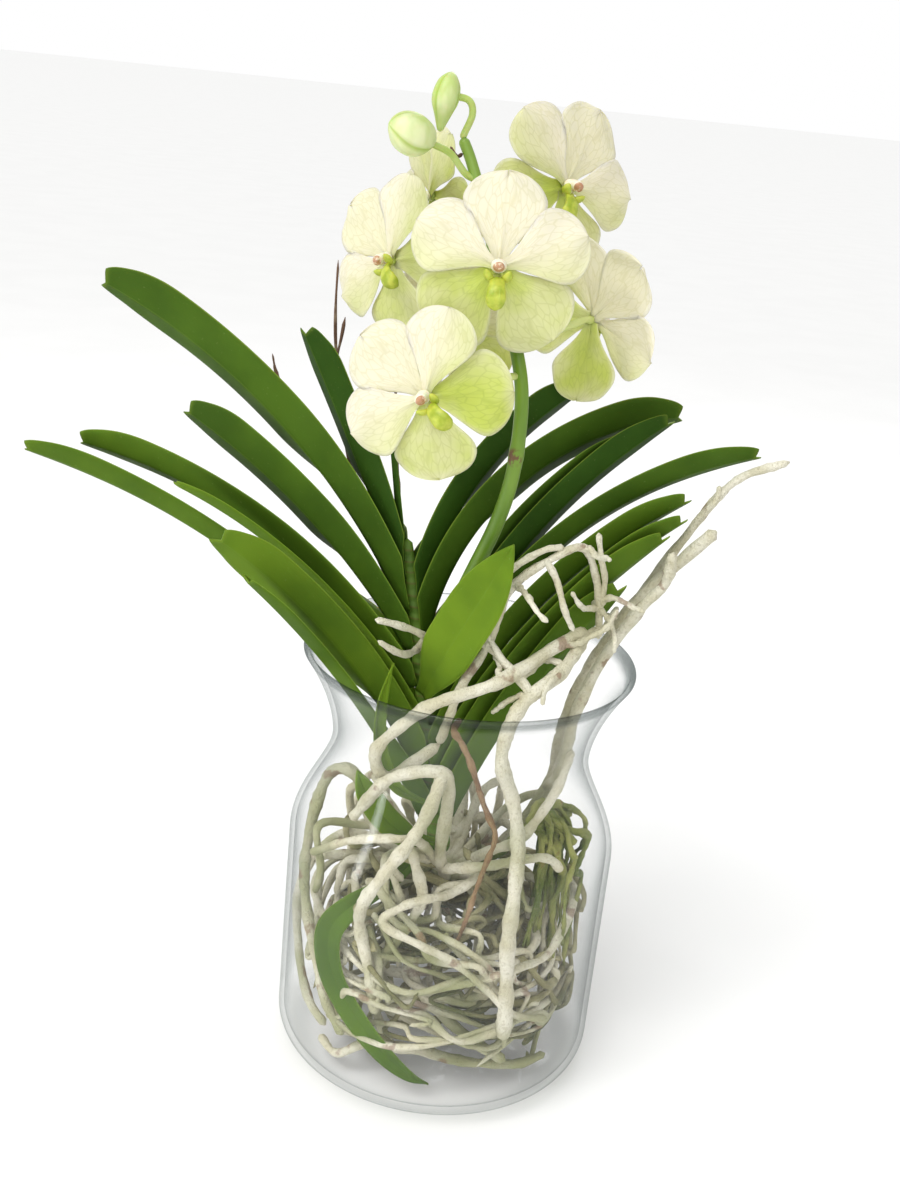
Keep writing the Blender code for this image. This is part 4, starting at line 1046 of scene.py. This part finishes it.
PALE_ROOTS = (
    (2.6, 3.4, (
        (-10, -16, 160), (-30, -34, 151), (-37, -38, 164), (-25, -42, 181), (-11, -44, 194),
        (13, -40, 204), (37, -28, 218), (47, -23, 221), (40, -32, 210), (27, -40, 199),
        (20, -43, 188), (18, -44, 170), (24, -43, 150), (28, -52, 131), (29, -60, 111),
        (29, -61, 86), (31, -60, 59), (32, -60, 39))),
    (2, 1.6, (
        (-10, -16, 160), (-6, -25, 180), (-2, -30, 198), (5, -30, 213), (10, -32, 231),
        (15, -32, 245), (27, -30, 256), (41, -26, 261), (49, -22, 248), (52, -20, 234),
        (54, -16, 218))),
    (1.6, 1.4, (
        (-2, -30, 198), (-2, -30, 215), (3, -30, 236), (13, -33, 252), (24, -32, 260),
        (33, -29, 262))),
    (1.6, 1.2, (
        (26, -31, 257), (31, -34, 250), (35, -38, 239), (41, -36, 228))),
    (1.4, 1.2, (
        (52, -20, 234), (53, -22, 246), (49, -24, 258), (47, -24, 268))),
    (1.8, 1.4, (
        (27, -40, 199), (18, -35, 206), (10, -31, 213), (0, -30, 217))),
    (1.8, 1.2, (
        (27, -40, 199), (21, -37, 206), (12, -35, 213), (4, -33, 223))),
    (2.8, 2.8, (
        (4, 4, 90), (28, 24, 94), (44, 26, 122), (46, 19, 150), (49, 16, 170), (58, 10, 200),
        (71, 4, 230), (86, 0, 251), (99, -4, 268))),
    (2.6, 1.7, (
        (44, 26, 122), (50, 12, 150), (52, 12, 172), (64, 14, 206), (76, 10, 236), (90, 8, 264),
        (98, 6, 279), (109, 6, 291), (127, 6, 299))),
    (1.8, 1.2, (
        (90, 8, 264), (97, 2, 279), (98, 0, 287))),
    (2.6, 2.4, (
        (44, 26, 122), (48, 4, 145), (50, -4, 172), (59, -6, 205), (70, -8, 231), (80, -9, 244),
        (81, -12, 259))),
    (3, 2.6, (
        (0, -10, 90), (-4, -30, 112), (-4, -36, 140), (-7, -44, 160), (-26, -44, 156),
        (-37, -40, 144), (-45, -38, 130))),
    (3, 2.6, (
        (-7, -44, 160), (-12, -50, 142), (-19, -56, 129), (-28, -58, 117), (-35, -55, 102),
        (-36, -52, 86), (-34, -53, 73), (-29, -55, 57), (-26, -56, 43))),
    (2.2, 1.8, (
        (0, -10, 90), (-10, -34, 116), (-19, -48, 129), (-34, -50, 129), (-48, -44, 121),
        (-63, -26, 104))),
    (2.6, 2.2, (
        (0, -6, 90), (-14, -32, 112), (-15, -43, 116), (-11, -47, 101), (-16, -46, 83),
        (-25, -45, 63), (-28, -46, 47), (-25, -44, 31), (-18, -40, 14))),
    (2.6, 2, (
        (0, -6, 88), (0, -28, 104), (11, -37, 113), (25, -40, 117), (43, -38, 120),
        (50, -34, 113))),
    (2.2, 1.6, (
        (0, -6, 88), (13, -28, 102), (3, -38, 99), (-8, -50, 101), (-18, -56, 99),
        (-26, -60, 94), (-9, -63, 86), (9, -61, 75), (26, -60, 61), (36, -57, 51), (52, -46, 42))),
    (2.8, 2.4, (
        (-14, -20, 66), (-10, -36, 50), (6, -47, 38), (21, -50, 28), (35, -51, 21))),
    (2.6, 2, (
        (-18, -40, 14), (-1, -46, 18), (18, -46, 14), (40, -42, 12), (55, -30, 11))),
    (2.2, 1.8, (
        (-18, -40, 14), (-30, -46, 18), (-42, -44, 11), (-52, -32, 10))),
    (3, 2.2, (
        (-12, 0, 90), (-36, -4, 108), (-46, -8, 136), (-57, -6, 136), (-64, -12, 118),
        (-67, -8, 95), (-65, -18, 86), (-61, -28, 69), (-55, -37, 50), (-49, -45, 38),
        (-40, -51, 26))),
    (2, 1.6, (
        (-36, -4, 108), (-60, -19, 115), (-57, -29, 99), (-60, -24, 82))),
    (2.4, 2, (
        (-12, 4, 88), (-50, 12, 94), (-68, 8, 72), (-67, -12, 47), (-60, -30, 30),
        (-49, -40, 22))),
    (2.6, 2, (
        (4, -4, 92), (18, -22, 112), (30, -28, 122), (38, -26, 136), (46, -20, 150),
        (50, -12, 162))),
)
BROWN_ROOT = (
    (-2, -14, 172), (-4, -28, 173), (0, -33, 169), (6, -36, 159), (13, -38, 143),
    (18, -44, 133), (16, -47, 121), (13, -48, 107), (10, -48, 92), (6, -48, 76))

SMALL_ROOTS = (
    (1.9, 1.4, (
        (-23.6, -5.3, 200.5), (-21, -18, 211), (-30, -27, 219), (-42, -33, 223))),
    (1.8, 1.3, (
        (-23.6, -5.3, 200.5), (-29, -26, 205), (-40, -34, 214))),
)


def root_look(name, pale, shade, moss, damp):
    """Velamen: mealy pale cork with grey-green damp patches, brown scars and pits. Roots
    that lie deep in the vase are greener."""
    look = Look(name, 0.78)
    cloud = look.mask(70, 0.3, 0.7, 4.0)
    body = look.mix(cloud, shade, pale)
    wet = look.math("MULTIPLY", look.mask(26, 0.42, 0.66, 2.0), damp)
    inside = look.fade(look.split(look.node("TexCoord", "Object"))[2], 0.10, 0.19)
    wet = look.math("MULTIPLY", wet, look.math("MULTIPLY_ADD", inside, 0.85, 0.15))
    body = look.mix(wet, body, moss)
    scars = look.mask(75, 0.62, 0.68, 6.0)
    body = look.over(body, scars, 0.6, "7A4A2C")
    pits = look.mask(700, 0.55, 0.65, 2.0)
    look.colour(look.over(body, pits, 0.3, "A0966F"))
    relief = look.math("ADD", look.noise(420.0, 3.0), look.noise(1500.0, 2.0))
    look.bump(relief, 0.8, 0.0012)
    return look.material


def ring_point(turn, reach, height):
    """Point at an angle round the vase's axis, a distance from it and a height."""
    return (reach * math.cos(turn), reach * math.sin(turn), height)


def wandering_root(rng, start, turn, drift, reach, lift, foot):
    """Root that leaves the stem's foot, rises a little and comes down near the wall."""
    points = [tuple(value + rng.uniform(-0.001, 0.001) for value in start)]
    for step in range(1, WANDER_STEPS + 1):
        t = step / WANDER_STEPS
        out = reach * float(soft(t / 0.4)) * rng.uniform(0.93, 1.0)
        rise = math.sin(math.pi * min(max(t - 0.1, 0) / 0.5, 1))
        height = start[2] + lift * rise - (start[2] - foot) * float(soft((t - 0.25) / 0.75))
        points.append(ring_point(turn + drift * t + rng.uniform(-0.08, 0.08), out,
                                 height + rng.uniform(-0.003, 0.003)))
    return points


pale_rng = random.Random(ROOT_SEED)
shape_rng = np.random.default_rng(ROOT_SEED)
down = unit(STEM_FOOT - STEM_TOP)
knob = np.array([STEM_FOOT + down * depth for depth in (GAP, 0.004, 0.008, 0.014, 0.020)])
knob_radii = KNOB_RADIUS * np.interp(np.linspace(0, 1, 25), (0, 0.4, 1), (1, 1.2, 0.6))
solids = [tube(curve(knob, 6), knob_radii, 20)]
for *radii, points in PALE_ROOTS:
    points = metres(points)
    points[0] += [pale_rng.uniform(-0.0004, 0.0004) for axis in range(3)]
    solids.append(corky(points, *metres(radii), 12, shape_rng))
root_start = tuple(STEM_FOOT + (0.002, 0, -0.009))
for index in range(WALL_ROOTS):
    turn = math.radians(48 + 132 * index / (WALL_ROOTS - 1))
    points = wandering_root(pale_rng, root_start, turn, pale_rng.uniform(-0.25, 0.25),
                            pale_rng.uniform(0.050, 0.066), pale_rng.uniform(0, 0.034),
                            pale_rng.uniform(0.010, 0.040))
    solids.append(corky(points, pale_rng.uniform(0.0018, 0.0028), 0.0014, 10, shape_rng))
for index in range(CORE_ROOTS):
    turn = math.radians(50 + 260 * index / (CORE_ROOTS - 1))
    points = wandering_root(pale_rng, root_start, turn, pale_rng.uniform(-0.6, 0.6),
                            pale_rng.uniform(0.018, 0.030), 0, pale_rng.uniform(0.009, 0.030))
    solids.append(corky(points, pale_rng.uniform(0.0018, 0.0026), 0.0013, 10, shape_rng))

# Short side roots grow from the two arching roots above the rim
side_rng = random.Random(SIDE_SEED)
for index in range(SIDE_ROOTS):
    start = metres(PALE_ROOTS[index % 2][2][side_rng.randrange(4, 11)])
    heading = np.array((side_rng.uniform(-0.4, 1), side_rng.uniform(-0.4, 0.4),
                        side_rng.uniform(-0.6, 1)))
    points = [start]
    for step in range(4):
        heading = unit(heading + [side_rng.uniform(-0.5, 0.5) for axis in range(3)])
        points.append(points[-1] + heading * side_rng.uniform(0.004, 0.008))
    solids.append(corky(points, 0.0015, 0.0010, 10, shape_rng, 0.12))
pale_material = root_look("root_cork", "EBE7D4", "CDC7A8", "989B6C", 0.95)
add("cork_roots", solids, pale_material, "root_pale", "roots_pale")


def tangled_root(rng, least):
    """Root that winds through the vase: angle, distance from the axis and height each
    change by a small random step, from the middle down towards the floor."""
    turn = rng.uniform(0, math.tau)
    reach = rng.uniform(0.010, 0.040)
    height = rng.uniform(0.030, 0.108)
    end = rng.uniform(0.009, 0.060)
    drift = rng.choice((-1, 1)) * rng.uniform(0.05, 0.4)
    aim = rng.uniform(least, 0.067)
    points = []
    for step in range(11):
        t = step / 10
        points.append(ring_point(turn, min(reach, WIDEST_REACH), max(height, LOWEST_ROOT)))
        turn += drift + rng.uniform(-0.35, 0.35)
        reach += (aim - reach) * 0.4 + rng.uniform(-0.006, 0.006)
        height += (end - height) * 0.25 * (0.3 + t) + rng.uniform(-0.009, 0.009)
    return [(x, y, z) if z > 0.02 else (x * 0.94, y * 0.94, z) for x, y, z in points]


tangle_rng = random.Random(TANGLE_SEED)
damp_material = root_look("root_damp", "B4AE84", "7E7A50", "505628", 1.0)
for name, count, thinnest, thickest, least, material in (
        ("tangled_roots", 58, 0.0011, 0.0022, 0.028, damp_material),
        ("tangled_roots_pale", 34, 0.0016, 0.0026, 0.050, pale_material)):
    solids = [corky(tangled_root(tangle_rng, least), tangle_rng.uniform(thinnest, thickest),
                    0.0010, 8, shape_rng, 0.12, 6) for index in range(count)]
    add(name, solids, material, "root_pale")

solids = [corky(metres(points), *metres(radii), 12, shape_rng) for *radii, points in SMALL_ROOTS]
add("cork_roots_small", solids, pale_material, "root_pale", "roots_small")

brown_root = corky(metres(BROWN_ROOT), 0.0016, 0.0010, 12, shape_rng, 0.12)
brown_material = root_look("root_bark", "A98C68", "7C5E42", "6E6238", 0.4)
add("bark_root", brown_root, brown_material, "root_brown", "root_brown")

moss_rng = random.Random(MOSS_SEED)
knot = (0.036, -0.006, 0.119)
solids = [corky(((0.0072, -0.0026, 0.0902), (0.024, -0.005, 0.103), knot), 0.0022, 0.0026, 12,
                shape_rng)]
for index in range(MOSSY_ROOTS * 3):
    turn = math.radians(-26 + 44 * (index / (MOSSY_ROOTS * 3 - 1)))
    reach = moss_rng.uniform(0.046, 0.067)
    foot = 0.020 + 0.05 * moss_rng.random()
    points = [tuple(value + moss_rng.uniform(-0.0012, 0.0012) for value in knot)]
    for step in range(1, 7):
        t = step / 6
        out = 0.038 + (reach - 0.038) * float(soft(t / 0.3))
        points.append(ring_point(turn * float(soft(t / 0.4)) + moss_rng.uniform(-0.14, 0.14),
                                 out * moss_rng.uniform(0.9, 1),
                                 knot[2] + 0.008 * math.sin(3 * t) - (knot[2] - foot) * t * t
                                 + moss_rng.uniform(-0.005, 0.005)))
    solids.append(corky(points, moss_rng.uniform(0.0011, 0.0022), 0.0008, 8, shape_rng, 0.2))
moss_material = root_look("root_moss", "A6A85E", "6C7A30", "4F6420", 1.0)
add("moss_roots", solids, moss_material, "root_mossy", "roots_mossy")

# Stage. A pale floor, a soft even sky with four small lamps that draw lights on the
# glass, and the camera, rolled because the plant is held at a slant.

FLOOR_REACH = 60.0
CAMERA_PLACE = (-0.01153, -0.58123, 0.43627)
CAMERA_DOWN = 20.15
CAMERA_ROLL = 5.837
CAMERA_LENS = 42.0
STUDIO_LIGHT = 0.6
SUN_STRENGTH = 1.5
SUN_PLACE = (-0.5, -0.5, 1.5)
SUN_DIRECTION = (0.35, 0.45, -0.9)
SUN_WIDTH = 40

# Name, place, point aimed at, power in watts and size
LAMPS = (
    ("key", (-0.7, -0.6, 1.1), (0, 0, 0.2), 1.8, (0.2, 0.2)),
    ("strip", (0.15, -1.2, 0.72), (0, 0, 0.15), 2.5, (0.6, 0.03)),
    ("window", (-0.9, -0.5, 0.3), (0, 0, 0.1), 1.5, (0.1, 0.7)),
    ("back", (0.3, 1.1, 1.2), (0, 0, 0.25), 3.0, (0.5, 0.5)),
)


def make_stage():
    """White floor, sky that is white to the camera and softer to the plant, sun and lamps."""
    look = Look("floor_white", 0.9)
    look.colour(look.mix(look.mask(8, 0.3, 0.7), "F9F9F8", "FBFBFA"))
    corners = np.array(((-1, -1), (1, -1), (1, 1), (-1, 1))) * FLOOR_REACH
    points = np.concatenate([corners, np.full((4, 1), -0.0005)], 1)
    build("floor", points, [(0, 1, 2, 3)], look.material)
    world = bpy.data.worlds.new("studio")
    world.use_nodes = True
    tree = world.node_tree
    seen = tree.nodes.new("ShaderNodeLightPath").outputs["Is Camera Ray"]
    level = tree.nodes.new("ShaderNodeMapRange")
    level.inputs["To Min"].default_value = STUDIO_LIGHT
    level.inputs["To Max"].default_value = 1.0
    tree.links.new(seen, level.inputs[0])
    tree.links.new(level.outputs[0], tree.nodes["Background"].inputs["Strength"])
    tree.nodes["Background"].inputs["Color"].default_value = (1, 1, 1, 1)
    bpy.context.scene.world = world
    sun = bpy.data.lights.new("sky", "SUN")
    sun.energy = SUN_STRENGTH
    sun.angle = math.radians(SUN_WIDTH)
    sky = bpy.data.objects.new("sky", sun)
    bpy.context.scene.collection.objects.link(sky)
    set_view(sky, SUN_PLACE, unit(np.array(SUN_DIRECTION)), 0)
    for name, place, aim, power, size in LAMPS:
        data = bpy.data.lights.new(name, "AREA")
        data.shape = "RECTANGLE"
        data.energy = power
        data.size, data.size_y = size
        lamp = bpy.data.objects.new(name, data)
        bpy.context.scene.collection.objects.link(lamp)
        set_view(lamp, place, unit(np.array(aim) - place), 0)


def set_view(obj, place, forward, roll):
    """Place an object so that it looks along a direction, rolled by an angle."""
    right = unit(np.cross(forward, (0, 0, 1)))
    up = np.cross(right, forward)
    turn = math.radians(roll)
    x = right * math.cos(turn) + up * math.sin(turn)
    y = up * math.cos(turn) - right * math.sin(turn)
    matrix = np.eye(4)
    matrix[:3] = np.stack([x, y, -forward, place], 1)
    obj.matrix_world = Matrix(matrix)


def make_camera():
    data = bpy.data.cameras.new("view")
    data.lens = CAMERA_LENS
    data.sensor_fit = "VERTICAL"
    data.sensor_height = 36.0
    data.clip_start = 0.01
    camera = bpy.data.objects.new("view", data)
    bpy.context.scene.collection.objects.link(camera)
    down = math.radians(CAMERA_DOWN)
    set_view(camera, CAMERA_PLACE, np.array((0, math.cos(down), -math.sin(down))), CAMERA_ROLL)
    bpy.context.scene.camera = camera


make_stage()
make_camera()
bpy.context.scene.view_settings.view_transform = "Standard"
